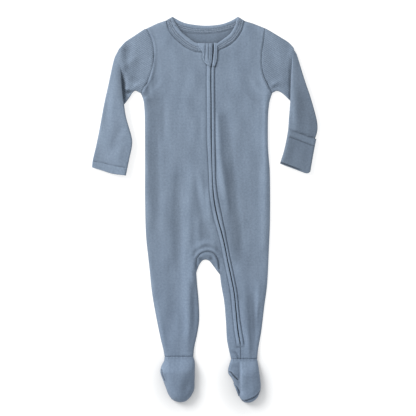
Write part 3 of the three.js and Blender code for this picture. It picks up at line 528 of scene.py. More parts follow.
def shell(points, quads, wall=WALL, floor=None, level=False):
    """Closes a surface into cloth of one wall, with its inner face under the given one."""
    normals = vertex_normals(points, quads)
    normals[level & (normals[:, 2] < 0.85)] = (0, 0, 1)
    inner = points - wall * normals
    if floor is not None:
        inner[:, 2] = np.minimum(np.maximum(inner[:, 2], floor), points[:, 2] - 0.05)
    count = len(points)
    return np.vstack([points, inner]), closed(quads, count)


def closed(quads, count):
    """Faces of a surface, of its twin below, and of the rim between them."""
    rim = rim_of(quads)
    sides = np.stack([rim[:, 1], rim[:, 0], rim[:, 0] + count, rim[:, 1] + count], -1)
    return np.vstack([quads, quads[:, ::-1] + count, sides])


# Objects and materials

SURFACES = []


def make(name, points, quads, material, cut=None, node=None, painted_shading=None):
    """A piece from points in millimetres, with the flat cut's coordinates and the painted light and shade of its
    cloth.
    """
    mesh = bpy.data.meshes.new(name)
    SURFACES.append((points, quads))
    faces = [[i for k, i in enumerate(q) if i != q[k - 1]] for q in quads.tolist()]
    mesh.from_pydata((points * MM).tolist(), [], [f for f in faces if len(f) > 2])
    mesh.polygons.foreach_set("use_smooth", np.ones(len(mesh.polygons), bool))
    if cut is not None:
        layer = mesh.uv_layers.new(name="cut")
        loops = np.empty(len(mesh.loops), np.int32)
        mesh.loops.foreach_get("vertex_index", loops)
        layer.data.foreach_set("uv", (cut[loops] * MM).astype(np.float32).ravel())
    # Painted light and shade, kept on each point for the material to scale its colour by
    if painted_shading is not None:
        layer = mesh.attributes.new("painted_shading", "FLOAT", "POINT")
        layer.data.foreach_set("value", np.asarray(painted_shading, np.float32))
    mesh.materials.append(material)
    mesh.update()
    if volume_of(mesh) < 0:
        mesh.flip_normals()
    piece = bpy.data.objects.new(name, mesh)
    bpy.context.scene.collection.objects.link(piece)
    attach(piece, "root")
    if node:
        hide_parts(node)
    return piece


def volume_of(mesh):
    mesh.calc_loop_triangles()
    corners = np.empty(len(mesh.loop_triangles) * 3, np.int32)
    mesh.loop_triangles.foreach_get("vertices", corners)
    places = np.empty(len(mesh.vertices) * 3, np.float32)
    mesh.vertices.foreach_get("co", places)
    a, b, c = places.reshape(-1, 3)[corners].reshape(-1, 3, 3).transpose(1, 0, 2)
    return float((a * np.cross(b, c)).sum())


class Nodes:
    """Short calls for a material's nodes."""

    def __init__(self, name):
        self.material = bpy.data.materials.new(name)
        self.material.use_nodes = True
        self.tree = self.material.node_tree
        self.tree.nodes.clear()
        self.shader = self.new("BsdfPrincipled")
        self.tree.links.new(self.shader.outputs[0], self.new("OutputMaterial").inputs[0])

    def new(self, kind, **settings):
        node = self.tree.nodes.new("ShaderNode" + kind)
        for name, value in settings.items():
            setattr(node, name, value)
        return node

    def put(self, socket, value):
        if isinstance(value, bpy.types.NodeSocket):
            self.tree.links.new(value, socket)
        elif value is not None:
            socket.default_value = value

    def fill(self, node, *values):
        for socket, value in zip(node.inputs, values):
            self.put(socket, value)
        return node.outputs[0]

    def shade(self, colour, roughness, normal=None):
        for name, value in (("Base Color", colour), ("Roughness", roughness), ("Normal", normal)):
            self.put(self.shader.inputs[name], value)

    def place(self):
        return self.new("TexCoord").outputs["Object"]

    def cut(self):
        return self.new("UVMap", uv_map="cut").outputs[0]

    def math(self, operation, a, b=None):
        return self.fill(self.new("Math", operation=operation), a, b)

    def scaled(self, value, gain, offset):
        return self.math("ADD", self.math("MULTIPLY", value, gain), offset)

    def centred(self, value, gain):
        return self.math("MULTIPLY", self.math("SUBTRACT", value, 0.5), gain)

    def wave(self, turns):
        """A wave from 0 to 1, one for each whole turn."""
        return self.scaled(self.math("SINE", self.math("MULTIPLY", turns, TAU)), 0.5, 0.5)

    def total(self, first, *others):
        for value in others:
            first = self.math("ADD", first, value)
        return first

    def vector(self, operation, *values):
        return self.fill(self.new("VectorMath", operation=operation), *values)

    def ramp(self, value, start, end, low, high, kind="LINEAR"):
        return self.fill(self.new("MapRange", interpolation_type=kind), value, start, end, low, high)

    def noise(self, vector, scale, detail=2.0, roughness=0.5):
        node = self.new("TexNoise")
        for name, value in (("Vector", vector), ("Scale", scale), ("Detail", detail), ("Roughness", roughness)):
            self.put(node.inputs[name], value)
        return node.outputs["Fac"]

    def mix(self, share, a, b):
        node = self.new("Mix", data_type="RGBA")
        self.put(node.inputs[0], share)
        for socket, value in zip(node.inputs[6:8], (a, b)):
            self.put(socket, (*value, 1.0) if isinstance(value, tuple) else value)
        return node.outputs[2]

    def bump(self, height, distance, strength=1.0, normal=None):
        node = self.new("Bump")
        for name, value in (("Height", height), ("Distance", distance), ("Strength", strength), ("Normal", normal)):
            self.put(node.inputs[name], value)
        return node.outputs[0]

    def split(self, vector):
        node = self.new("SeparateXYZ")
        self.put(node.inputs[0], vector)
        return node.outputs[0], node.outputs[1]


# Metres
RIB_PITCH, ARM_RIB_PITCH = 0.0015, 0.0028
STITCH_PITCH = 0.0012
WARP_PITCH, WEFT_PITCH = 0.0006, 0.0009
TAU = 2 * math.pi


def darker(colour, share):
    return tuple(share * c for c in colour)


def knit(name, rib=1.0, painted_shading=0.0, pitch=RIB_PITCH):
    """Fine rib knit: ribs along the cut's second coordinate, small stitches, heathered yarn and a soft nap, with each
    piece's painted light and shade scaling its colour; a copy can be painted lighter or darker as a whole.
    """
    n = Nodes(name)
    cut, place = n.cut(), n.place()
    u, v = n.split(cut)
    ribs_at = n.math("DIVIDE", n.math("ADD", u, n.centred(n.noise(cut, 60.0), 0.0016)), pitch)
    ribs = n.wave(ribs_at)
    lean = n.math("ABSOLUTE", n.math("SUBTRACT", n.math("FRACT", ribs_at), 0.25))
    loops = n.wave(n.math("ADD", n.math("DIVIDE", v, STITCH_PITCH), n.math("MULTIPLY", lean, 1.4)))
    height = n.math("ADD", n.math("MULTIPLY", ribs, 0.75), n.math("MULTIPLY", n.math("MULTIPLY", loops, ribs), 0.35))
    yarn = n.noise(cut, 1500.0, 3.0, 0.7)
    heather = n.noise(cut, 320.0, 4.0, 0.62)
    cloud = n.noise(place, 26.0, 3.0, 0.55)
    share = n.total(n.scaled(height, 0.34 * rib, 0.34 - 0.12 * rib + painted_shading), n.centred(yarn, 0.7),
                    n.centred(heather, 1.5), n.centred(cloud, 0.7))
    blue = n.mix(n.math("MINIMUM", n.math("MAXIMUM", share, 0.0), 1.0), BLUE_DARK, BLUE_LIGHT)
    streaks = n.vector("MULTIPLY", cut, (260.0, 14.0, 1.0))
    # Painted light and shade from each piece's points, with random streaks, scales the colour
    painted_shading_input = n.new("Attribute", attribute_name="painted_shading").outputs["Fac"]
    gain = n.total(painted_shading_input, n.centred(n.noise(streaks, 1.0), 0.13), 1.0)
    down_legs = n.ramp(n.split(place)[1], -0.03, -0.20, 0.0, 1.0)
    fresh = n.vector("MULTIPLY", blue, n.mix(down_legs, (1.0, 1.0, 1.0), BLUER))
    nap = n.bump(n.math("ADD", yarn, n.math("MULTIPLY", heather, 1.2)), 0.00022, 0.7)
    n.shade(n.vector("SCALE", fresh, None, None, gain), n.scaled(heather, 0.12, 0.84),
            n.bump(height, 0.00028 * rib, 0.85, nap))
    n.shader.inputs["Sheen Weight"].default_value = 0.12
    n.shader.inputs["Sheen Roughness"].default_value = 0.5
    n.shader.inputs["Specular IOR Level"].default_value = 0.12
    return n.material


def thread(name, colour):
    n = Nodes(name)
    twist = n.noise(n.place(), 2600.0)
    n.shade(n.mix(twist, darker(colour, 0.72), colour), n.scaled(twist, 0.2, 0.6), n.bump(twist, 0.0001))
    n.shader.inputs["Specular IOR Level"].default_value = 0.25
    return n.material


def woven_tape(name):
    n = Nodes(name)
    u, v = n.split(n.cut())
    weave = n.math("MULTIPLY", n.math("SINE", n.math("MULTIPLY", u, TAU / WARP_PITCH)),
                   n.math("SINE", n.math("MULTIPLY", v, TAU / WEFT_PITCH)))
    n.shade(n.mix(n.scaled(weave, 0.3, 0.5), darker(ZIP_BLUE_SHADED, 0.7), ZIP_BLUE_SHADED), n.scaled(weave, 0.05, 0.8),
            n.bump(weave, 0.0001))
    return n.material


def plastic(name, colour, roughness):
    n = Nodes(name)
    grain = n.noise(n.place(), 900.0)
    n.shade(n.mix(grain, darker(colour, 0.85), colour), n.scaled(grain, 0.1, roughness), n.bump(grain, 0.00005))
    return n.material


KNIT = knit("rib_knit")
KNIT_ARM = knit("rib_knit_arm", rib=2.4, pitch=ARM_RIB_PITCH)
# Copies of the knit painted a little lighter for the neckband, and darker for the inside of the back as painted shade
KNIT_BAND = knit("rib_band", rib=0.8, painted_shading=0.02)
KNIT_SHADED_INSIDE = knit("rib_knit_inside_shaded", rib=0.7, painted_shading=-0.08)
THREAD = thread("coverstitch_thread", THREAD_BLUE)
TOPSTITCH = thread("topstitch_thread", TOPSTITCH_BLUE)
TAPE = woven_tape("zip_tape_weave")
TEETH = plastic("zip_teeth", TEETH_BLUE_SHADED, 0.5)
STOP = plastic("zip_stop", STOP_GREY, 0.35)


# Panels

PLACKET_STEPS = (0.0, 0.3, 0.8, 1.6, 2.6, 3.4, 4.0, 4.5, 5.0, 5.5, 6.0, 6.7, 7.6, 8.8)


def leg_lines(outer, inner, side):
    start = near_edge(outer, side)
    end = near_edge(inner, -side)[::-1]
    return start + spaced(start[-1], end[0], CROTCH_Y) + end


def crotch_places(lines):
    return [[float(line(CROTCH_Y)), CROTCH_Y] for line in lines]


def slot_right(y):
    return zip_line(y) - slot_half(y)


def slot_left(y):
    return zip_line(y) + slot_half(y)


def grid_between(lines, top, bottom, rows):
    y = np.linspace(top, bottom, rows + 1)
    x = np.stack([line(y) for line in lines], -1)
    return np.stack([x, np.broadcast_to(y[:, None], x.shape)], -1)


def shares_of(values):
    return (values - values[0]) / (values[-1] - values[0])


def nearest(values, wanted):
    return values[np.argmin(np.abs(values - wanted))]


def torso_grid(crotch_row, side, far, rows, ease=1.0):
    """Rows from the underarm down, closer together lower down, which bend up to a crotch row of given points."""
    share = 1 - (1 - np.linspace(0, 1, rows + 1)) ** ease
    y = (UNDERARM_Y + (CROTCH_Y - UNDERARM_Y) * share)[:, None]
    left, right = side(y), far(y)
    x = left + (right - left) * shares_of(crotch_row[:, 0])
    near = np.clip(1 - (y - CROTCH_Y) / ARCH_REACH, 0, 1) ** 2
    lift = crotch_row[:, 1] - CROTCH_Y
    return np.stack([x, y + lift * near], -1)


def yoke_grid(lines_x, first, second, corner, left, right):
    shares = shares_of(lines_x)
    bottom = straight((lines_x[0], UNDERARM_Y), (lines_x[-1], UNDERARM_Y))
    patch = coons(cornered(first, second, nearest(shares, corner)), bottom, left, right)
    down = np.concatenate([[0, 0.004, 0.012, 0.024, 0.04], np.linspace(0.06, 1, YOKE_ROWS)])
    return patch(shares[None, :], down[:, None])


def cloth(name, points, quads, height, node, painted_shading=None, material=KNIT, slot="knit", **walls):
    """A closed cloth of one wall, whose outer face has given heights over flat points."""
    corners, faces = shell(np.column_stack([points, height]), quads, **walls)
    painted_shadings = None if painted_shading is None else np.tile(painted_shading, 2)
    return make(name, corners, faces, material, np.vstack([points, points]), node, painted_shadings)


def slab(name, points, quads, upper, under, node, painted_shading=None, material=KNIT):
    """A closed cloth between two given heights over flat points."""
    corners = np.vstack([np.column_stack([points, upper]), np.column_stack([points, under])])
    return make(name, corners, closed(quads, len(points)), material, np.vstack([points, points]), node, painted_shading)


def front_panel(name, node, *grids):
    points, quads = blocks_of(*grids)
    x, y = points.T
    height, painted_shading = front_relief(x, y)
    taped = (np.abs(x - zip_line(y)) < OVER_TAPE) & (y > ZIP_END_Y - 6)
    return cloth(name, points, quads, height, node, painted_shading, floor=np.where(taped, TAPE_TOP + 0.2, FRONT_FLOOR),
                 level=distance_to(BODY_EDGES, x, y) > EDGE_ROLL)


def front_panel_right():
    leg = leg_lines(side_right, inside_right, 1)
    strip_far = [lambda y, d=d: slot_right(y) - d for d in PLACKET_STEPS[::-1]]
    strip = near_edge(inside_left, 1)[:5] + strip_far
    arch_row = ARCH(np.linspace(0, 1, 44))[1:-1]
    crotch_row = np.vstack([crotch_places(leg), arch_row, crotch_places(strip)])
    inner = len(PLACKET_STEPS)
    body = torso_grid(crotch_row[:-inner + 1], side_right, strip_far[0], FRONT_TORSO_ROWS, 1.6)
    y = np.broadcast_to(body[:, -1:, 1], (len(body), inner - 1))
    edge = np.stack([np.stack([line(body[:, -1, 1]) for line in strip_far[1:]], -1), y], -1)
    torso = np.concatenate([body, edge], 1)
    right = down_line(slot_right, ZIP_TOP_Y, UNDERARM_Y)
    return front_panel(
        "cloth_front_right", "front_right",
        yoke_grid(torso[0, :, 0], SHOULDER_RIGHT, NECK_FRONT_RIGHT, 0.28, ARMHOLE_RIGHT, right), torso,
        grid_between(leg, CROTCH_Y, ANKLE_RIGHT_Y, LEG_ROWS), grid_between(strip, CROTCH_Y, ANKLE_LEFT_Y, LEG_ROWS))


def front_panel_left():
    near = [lambda y, d=d: slot_left(y) + d * PLACKET_LEFT / PLACKET_RIGHT for d in PLACKET_STEPS]
    far = near_edge(side_left, -1)[::-1]
    lines = near + spaced(near[-1], far[0], 100) + far
    torso = grid_between(lines, UNDERARM_Y, CROTCH_Y, TORSO_ROWS)
    left = down_line(slot_left, ZIP_TOP_Y, UNDERARM_Y)
    return front_panel(
        "cloth_front_left", "front_left",
        yoke_grid(torso[0, :, 0], NECK_FRONT_LEFT, SHOULDER_LEFT, 0.68, left, ARMHOLE_LEFT), torso,
        grid_between(lines, CROTCH_Y, ANKLE_LEFT_Y, LEG_ROWS))


def back_panel():
    right_leg = leg_lines(side_right, inside_right, 1)
    left_leg = leg_lines(side_left, inside_left, -1)[::-1]
    row = np.vstack([crotch_places(right_leg), ARCH(np.linspace(0, 1, 30))[1:-1], crotch_places(left_leg)])
    torso = torso_grid(row, side_right, side_left, BACK_TORSO_ROWS)
    xs = torso[0, :, 0]
    shares = shares_of(xs)
    first, last = nearest(shares, 0.17), nearest(shares, 0.83)

    def top(u):
        u = np.asarray(u, float)
        parts = [SHOULDER_RIGHT(np.clip(u / first, 0, 1)), NECK_BACK(np.clip((u - first) / (last - first), 0, 1)),
                 SHOULDER_LEFT(np.clip((u - last) / (1 - last), 0, 1))]
        return np.where((u < first)[..., None], parts[0], np.where((u > last)[..., None], parts[2], parts[1]))

    bottom = straight((xs[0], UNDERARM_Y), (xs[-1], UNDERARM_Y))
    down = np.linspace(0, 1, BACK_YOKE_ROWS)[:, None]
    yoke = coons(top, bottom, ARMHOLE_RIGHT, ARMHOLE_LEFT)(shares[None, :], down)
    points, quads = blocks_of(yoke, torso, grid_between(right_leg, CROTCH_Y, ANKLE_RIGHT_Y, BACK_LEG_ROWS),
                              grid_between(left_leg, CROTCH_Y, ANKLE_LEFT_Y, BACK_LEG_ROWS))
    x, y = points.T
    away = distance_to(BODY_EDGES, x, y)
    under = 1.35 * (1 - round_share(away, 2.2))
    inside = (y > 200) & (np.abs(x) < 80)
    upper = under + WALL + np.where(inside, 0.5 + 0.6 * ripples(x * 1.3, y * 1.7), 0) * smoothstep(away, 2, 12)
    upper = np.minimum(upper, np.where(inside, 3.0, FRONT_FLOOR))
    neck = distance_to([sampled(NECK_BACK)], x, y)
    upper -= 0.5 * bell(neck, 1.3)
    front_neck = distance_to([sampled(BAND_FRONT_RIGHT), sampled(BAND_FRONT_LEFT)], x, y)
    # Painted shade along the back neck seam, under the front bands, and over the whole inside of the back
    painted_shading = -0.2 * bell(neck, 1.4) - 0.18 * bell(front_neck, 6.0) - 0.16
    return slab("cloth_back", points, quads, upper, under, "back", np.concatenate([painted_shading, 0 * painted_shading]), KNIT_SHADED_INSIDE)


def gusset():
    across = np.concatenate([[0, 0.01, 0.03], np.linspace(0.06, 0.94, 34), [0.97, 0.99, 1]])
    down = np.array([0, 0.03, 0.08, 0.16, 0.3, 0.45, 0.6, 0.72, 0.82, 0.9, 0.96, 1])
    seam = ARCH(0.02 + 0.96 * across)
    centre = np.array([5.0, -100.0])
    seam = seam - SEAM_GAP * (centre - seam) / np.linalg.norm(centre - seam, axis=1, keepdims=True)
    points, quads = blocks_of(seam[None] + (GUSSET_EDGE(across) - seam)[None] * down[:, None, None])
    x, y = points.T
    corner = bell(np.hypot(x + 6.5, y + 79.5), 2.6) + bell(np.hypot(x - 10.5, y + 79), 2.6)
    rolled = round_share(distance_to(BODY_EDGES, x, y), 4)
    height, painted_shading = front_relief(x, y)
    below = 0.6 * bell(distance_to(ARCH_LINE, x, y), 0.8)
    z = np.maximum(height - 0.3 - below - 1.9 * corner * rolled, FRONT_FLOOR)
    # Painted shade at the gusset's two corners, and a little over the whole gusset
    return cloth("cloth_gusset", points, quads, z, "gusset", painted_shading - 0.34 * corner - 0.05, floor=FRONT_FLOOR)


# Ribbons, such as the neckband

BAND_GROOVES = (0.12, 0.335, 0.55)
BAND_ROWS = (0.225, 0.445)


def ribbon(name, seam, edge, base, thick, steps, node):
    """A strip with a rounded section between its seam and its free edge."""
    s = np.linspace(0, 1, steps)
    t = np.concatenate([[0, 0.02, 0.05, 0.08], np.linspace(0.11, 0.71, 25), [0.78, 0.85, 0.91, 0.95, 0.98, 1]])
    a, b = seam(s), edge(s)
    flat = a[:, None] + (b - a)[:, None] * t[None, :, None]
    swell = round_share(np.minimum(t, 1 - t), 0.16)
    grooves = sum(bell(t - at, 0.03) for at in BAND_GROOVES)
    crown = 0.5 * bell(t - 0.78, 0.12) - 0.3 * grooves
    rows = sum(bell(t - at, 0.06) for at in BAND_ROWS)
    # Painted light and shade: the half towards the free edge and the stitch rows painted lighter, the grooves and the
    # seam's edge painted darker
    added_shading = 0.08 * smoothstep(t, 0.56, 0.7) + 0.16 * rows - 0.45 * grooves - 0.2 * bell(t, 0.04)
    added_shading = np.broadcast_to(added_shading, (steps, len(t)))
    low = base(s)[:, None]
    top = low + thick / 2 + (thick / 2) * swell[None] + crown[None] * swell[None]
    under = low + thick / 2 - (thick / 2) * swell[None]
    upper = np.concatenate([flat, top[..., None]], -1)
    lower = np.concatenate([flat, under[..., None]], -1)[:, -2:0:-1]
    rings = np.concatenate([upper, lower], 1)
    around = rings.shape[1]
    run = np.concatenate([[0], np.cumsum(np.linalg.norm(np.diff((a + b) / 2, axis=0), axis=1))])
    width = float(np.linalg.norm(b - a, axis=1).mean())
    reach = np.concatenate([t, t[-2:0:-1]]) * width
    cut = np.stack(np.broadcast_arrays(run[:, None], reach[None]), -1).reshape(-1, 2)
    painted_shading = np.concatenate([added_shading, added_shading[:, -2:0:-1]], 1).ravel()
    return make(name, rings.reshape(-1, 3), ring_faces(steps, around, True), KNIT_BAND, cut, node, painted_shading)


def ring_faces(rings, around, capped):
    i = np.arange(rings * around).reshape(rings, around)
    nxt = np.roll(i, -1, axis=1)
    faces = [np.stack([i[:-1], nxt[:-1], nxt[1:], i[1:]], -1).reshape(-1, 4)]
    if capped:
        for row in (i[0], i[-1][::-1]):
            half = around // 2
            for k in range(half):
                a, b = row[k], row[k + 1]
                c, d = row[(around - k - 1) % around], row[(around - k) % around]
                faces.append(np.array([[a, d, c, b]]))
    return np.vstack(faces)


def towards(curve, other, reach):
    """A curve moved a small reach towards another one."""
    return lambda t: curve(t) + reach * unit(other(t) - curve(t))


def neck_bands():
    def front_base(shoulder, waves):
        """Height of a front band: low at the shoulder's end, then over the front's edge."""
        return lambda s: 1.95 + 0.75 * smoothstep(np.abs(s - shoulder), 0.0, 0.25) + 0.12 * np.sin(waves * s)

    return [
        ribbon("band_back", towards(NECK_BACK, BAND_BACK, -0.25), BAND_BACK, lambda s: np.full(np.shape(s), 0.1),
               1.8, 90, "neck_band_back"),
        ribbon("band_front_right", towards(NECK_FRONT_RIGHT, BAND_FRONT_RIGHT, 0.02), BAND_FRONT_RIGHT,
               front_base(0, 26), 2.5, 80, "neck_band_front_right"),
        ribbon("band_front_left", towards(NECK_FRONT_LEFT, BAND_FRONT_LEFT, 0.02), BAND_FRONT_LEFT,
               front_base(1, 24), 2.5, 70, "neck_band_front_left"),
    ]


def unit(vectors):
    return vectors / np.maximum(np.linalg.norm(vectors, axis=-1, keepdims=True), 1e-9)


# Sleeves

RIB_SLANT = math.radians(-33)


def tube(name, node, patch, sections, height, base, folds, material=KNIT, fold_share=None, hem=None, extra=None,
         slant=None):
    """A flattened tube of cloth, open at both ends: the first coordinate runs along it, the second across."""
    u = np.asarray(sections, float)[:, None]
    ends = patch(np.array([[0.0, 1.0]]), u)
    width = np.linalg.norm(ends[:, 1] - ends[:, 0], axis=-1)[:, None]
    length = np.concatenate([[0], np.cumsum(np.linalg.norm(np.diff(ends.mean(1), axis=0), axis=1))])
    steps = max(int(float(width.max()) / GRID), 10)

    def ring(inset):
        low, high = base(u) + inset, base(u) + height(u) - inset
        radius = np.minimum((high - low) / 2, width / 2 - inset) * np.ones_like(u)
        rounding = np.array([0, 0.06, 0.2, 0.42, 0.7, 1.0])[None]
        inner = inset + radius
        middle = inner + (width - 2 * inner) * np.linspace(0, 1, steps + 1)[None, 1:-1]
        across = np.concatenate([inset + rounding * radius, middle, width - inset - rounding[:, ::-1] * radius], 1)
        flat = patch(across / width, u)
        edge = np.minimum(across, width - across) - inset
        rise = round_share(edge, radius) * (high - low) / 2
        x, y = flat[..., 0], flat[..., 1]
        rolled = round_share(edge, 6.0)
        lift = (SLEEVE_FOLD_DEPTH * folds_at(folds, x, y) + 0.8 * ripples(x + 31, y + 17)) * rolled
        if fold_share is not None:
            lift = lift * fold_share(u)
        # Painted light and shade: fold ridges lighter, troughs darker, and the rolled edges darker
        painted_shading = 0.06 * lift - 0.08 * (1 - rolled) ** 2
        lean = tilt_of(node, u, across / width)
        top = (low + high) / 2 + rise + lift + lean
        if hem is not None:
            added, added_shading = hem(u, x, y)
            top, painted_shading = top + added * round_share(edge, 3.0), painted_shading + added_shading
        if extra is not None:
            added, added_shading = extra(x, y)
            top, painted_shading = top + added * round_share(edge, 4.0), painted_shading + added_shading
        bottom = (low + high) / 2 - rise + lean * 0.55
        upper = np.concatenate([flat, top[..., None]], -1)
        lower = np.concatenate([flat, bottom[..., None]], -1)[:, -2:0:-1]
        cut = np.stack(np.broadcast_arrays(across, length[:, None]), -1)
        under = np.stack(np.broadcast_arrays(2 * width - across, length[:, None]), -1)[:, -2:0:-1]
        if slant is not None:
            turned = np.stack([-x * math.sin(slant) + y * math.cos(slant),
                               x * math.cos(slant) + y * math.sin(slant)], -1)
            cut, under = turned, turned[:, -2:0:-1]
        painted_shadings = np.concatenate([painted_shading, 0 * painted_shading[:, -2:0:-1]], 1)
        return np.concatenate([upper, lower], 1), np.concatenate([cut, under], 1), painted_shadings

    (outer, cut, painted_shadings), (inner, _, _) = ring(0.0), ring(WALL)
    rings, around = outer.shape[:2]
    count = rings * around
    faces = ring_faces(rings, around, False)
    ends = []
    for row, flip in ((0, False), (rings - 1, True)):
        i = row * around + np.arange(around)
        j = np.roll(i, -1)
        quad = np.stack([j, i, i + count, j + count], -1)
        ends.append(quad[:, ::-1] if flip else quad)
    corners = np.vstack([outer.reshape(-1, 3), inner.reshape(-1, 3)])
    every = np.vstack([faces, faces[:, ::-1] + count, *ends])
    cut = np.vstack([cut.reshape(-1, 2)] * 2)
    return make(name, corners, every, material, cut, node, np.tile(painted_shadings.ravel(), 2))


# How much higher the inner edge of each stretch lies than its outer edge, at its start and its end
TILTS = {
    "sleeve_right_upper": (0.0, 0.0),
    "sleeve_left_upper": (0.0, 0.0),
    "sleeve_right_lower": (1.6, 5.0),
    "sleeve_left_lower": (1.6, 5.0),
    "mitten_left": (4.6, 4.6),
}


def tilt_of(node, u, across):
    start, end = TILTS[node]
    return (start + (end - start) * smoothstep(u, 0.1, 0.8)) * smoothstep(across, 0.0, 1.0)


UPPER_RIGHT = coons(
    left=through((-93.25, 289.6), (-98, 287.9), (-113, 277.8), (-126, 269.4), (-134, 261)),
    right=through((-102.05, 186), (-105.5, 187.8), (-111, 190), (-116, 186), (-120.5, 179), (-129.5, 167.8),
                  (-138, 165.5)),
    top=lambda t: ARMHOLE_RIGHT(t) + np.array([0.25, 0.0]),
    bottom=through((-134, 261), (-142, 235), (-147.5, 205), (-146, 180), (-138, 165.5)),
)
UPPER_LEFT = coons(
    left=through((97.25, 290.2), (102, 287.8), (121, 276.4), (134, 268.4), (142.5, 259.6)),
    right=through((float(side_left(UNDERARM_Y)) - 0.25, 186), (111.5, 188), (117, 189.7), (125.5, 185.2),
                  (137.5, 174), (146, 168)),
    top=lambda t: ARMHOLE_LEFT(t) + np.array([-0.25, 0.0]),
    bottom=through((142.5, 259.6), (149, 235), (156, 205), (155, 180), (146, 168)),
)
LOWER_RIGHT = coons(
    left=through((-136.5, 258), (-139.5, 252), (-145.5, 238), (-153.9, 199), (-159.3, 175), (-164.7, 147.5),
                 (-170.3, 118), (-174.2, 99.5), (-179.1, 79), (-180.5, 67.2)),
    right=through((-132.5, 257), (-133, 250), (-134, 237.5), (-132.3, 200.5), (-129.5, 176.5), (-125.3, 147.5),
                  (-116.6, 116.5), (-115.9, 101.5), (-120.3, 80), (-125.6, 54)),
    top=straight((-136.5, 258), (-132.5, 257)),
    bottom=through((-180.5, 67.2), (-165, 62.4), (-148, 57), (-125.6, 54)),
)
LOWER_LEFT = coons(
    left=through((145, 253), (148.5, 246), (157, 218), (163.6, 197.5), (169.6, 180), (178.4, 149), (181.1, 133),
                 (180, 122), (176.8, 112), (172.5, 93.5), (167.5, 64)),
    right=through((142, 254), (141, 247), (138.5, 214.5), (137.5, 194), (137, 174), (134.9, 145.5), (133.6, 125.5),
                  (132, 109.5), (130, 91.5), (126, 75)),
    top=straight((145, 253), (142, 254)),
    bottom=straight((167.5, 64), (126, 75)),
)
MITTEN_LEFT = coons(
    left=through((179.2, 112.5), (175.4, 93.5), (169.6, 60.4)),
    right=through((133.4, 125.8), (130.6, 109.5), (126.4, 91.5), (120.6, 73.2)),
    top=through((179.2, 112.5), (168, 114.5), (153, 120), (133.4, 125.8)),
    bottom=through((169.6, 60.4), (163.5, 57.7), (145, 64.2), (120.6, 73.2)),
)
ELBOW_HEIGHT = 3.3


def along(count):
    fine = np.array([0.004, 0.01, 0.02])
    return np.unique(np.concatenate([np.linspace(0, 1, count), fine, 1 - fine]))


def upper_height(u):
    at_seam = 0.9 * (1 - smoothstep(u, 0.0, 0.035))
    return FRONT_TOP - (FRONT_TOP - ELBOW_HEIGHT) * smoothstep(u, 0.45, 0.78) - at_seam


def lower_height(u):
    return 1.6 + (FRONT_TOP - 1.6) * smoothstep(u, 0.0, 0.3)


def lower_base(patch):
    def at(u):
        y = patch(np.array([[0.5]]), u)[..., 0, 1][:, None]
        return 1.0 + (ELBOW_HEIGHT + 0.2 - 1.0) * smoothstep(y, 120, 165)
    return at


CUFF_LINE = [np.array([(-177.0, 77.3), (-126.0, 66.6)])]
MITTEN_LINE = [np.array([(136.0, 115.5), (176.5, 100.6)])]
FOREARM_EDGE_RIGHT = [np.array([(-132.5, 257), (-133, 250), (-134, 237.5), (-132.8, 215)])]
FOREARM_EDGE_LEFT = [np.array([(142, 254), (141, 247), (139, 225)])]


def cuff_hem(u, x, y):
    """The turned hem of the right cuff, with its stitch groove and small gathers under it; painted shade in the
    groove, painted light and shade on the gathers, and the turned hem painted a little lighter.
    """
    line = distance_to(CUFF_LINE, x, y)
    under = smoothstep(77.3 - 0.21 * (x + 177) - y, -0.5, 0.8)
    gathers = np.sin(x / 0.62 + 2 * np.sin(x / 5)) * under * bell(line - 3.5, 4.0)
    rise = 0.45 * under - 1.0 * bell(line, 0.9) + 0.3 * gathers
    return rise, -0.3 * bell(line, 0.8) + 0.05 * gathers + 0.05 * under


def mitten_hem(u, x, y):
    """The turned hem of the mitten's open edge, and the lip of its lower end; painted shade in the stitch groove and
    along the lip, and the hem painted a little lighter.
    """
    line = distance_to(MITTEN_LINE, x, y)
    above = smoothstep(y - (115.5 - 0.368 * (x - 136.0)), -0.5, 0.8)
    lip = bell((1 - u) * 62 - 2.0, 0.75) * smoothstep(-x, -158, -146)
    return 0.5 * above - 1.1 * bell(line, 0.9) - 3.0 * lip, -0.32 * bell(line, 0.8) + 0.05 * above - 0.6 * lip


def elbow_right(x, y):
    """The upper arm's cloth where it turns up into the forearm that lies over it, with painted shade beside the
    forearm's edge, in the hollow and under the curl, and a painted highlight on the curl.
    """
    near = distance_to(FOREARM_EDGE_RIGHT, x, y)
    high = smoothstep(y, 206, 230)
    hollow = bell(np.hypot((x + 130) / 4.2, (y - 197) / 24), 1.0)
    curl = bell(np.hypot((x + 123) / 4.5, (y - 193.2 - 0.3 * (x + 123)) / 1.5), 1.0)
    under = bell(np.hypot((x + 121) / 5.0, (y - 188.6 - 0.3 * (x + 121)) / 1.6), 1.0)
    lift = 4.9 * bell(near, 7.5) * high - 0.9 * hollow + 0.9 * curl - 0.3 * under
    return lift, -0.08 * bell(near, 2.2) * high - 0.46 * hollow + 0.22 * curl - 0.3 * under


def elbow_left(x, y):
    near = distance_to(FOREARM_EDGE_LEFT, x, y)
    high = smoothstep(y, 215, 240)
    along_edge = bell(x - 137.0, 2.2) * smoothstep(-y, -250, -235)
    # Painted shade beside the forearm's edge and along a line down the upper arm
    return 1.6 * bell(near, 5.0) * high - 0.4 * along_edge, -0.12 * bell(near, 2.0) * high - 0.36 * along_edge


def forearm_right(x, y):
    """A soft ridge along the outside of the forearm, painted lighter, and a dip at its inner edge, painted darker as
    shade.
    """
    centre = -141 - 0.09 * (257 - y)
    ridge = bell(x - centre, 7.0) * smoothstep(y, 60, 150)
    inner = bell(x + 132.5 - 0.1 * (200 - y), 5.0) * smoothstep(y, 150, 185) * smoothstep(-y, -240, -215)
    return 0.5 * ridge - 0.8 * inner, 0.08 * ridge - 0.26 * inner


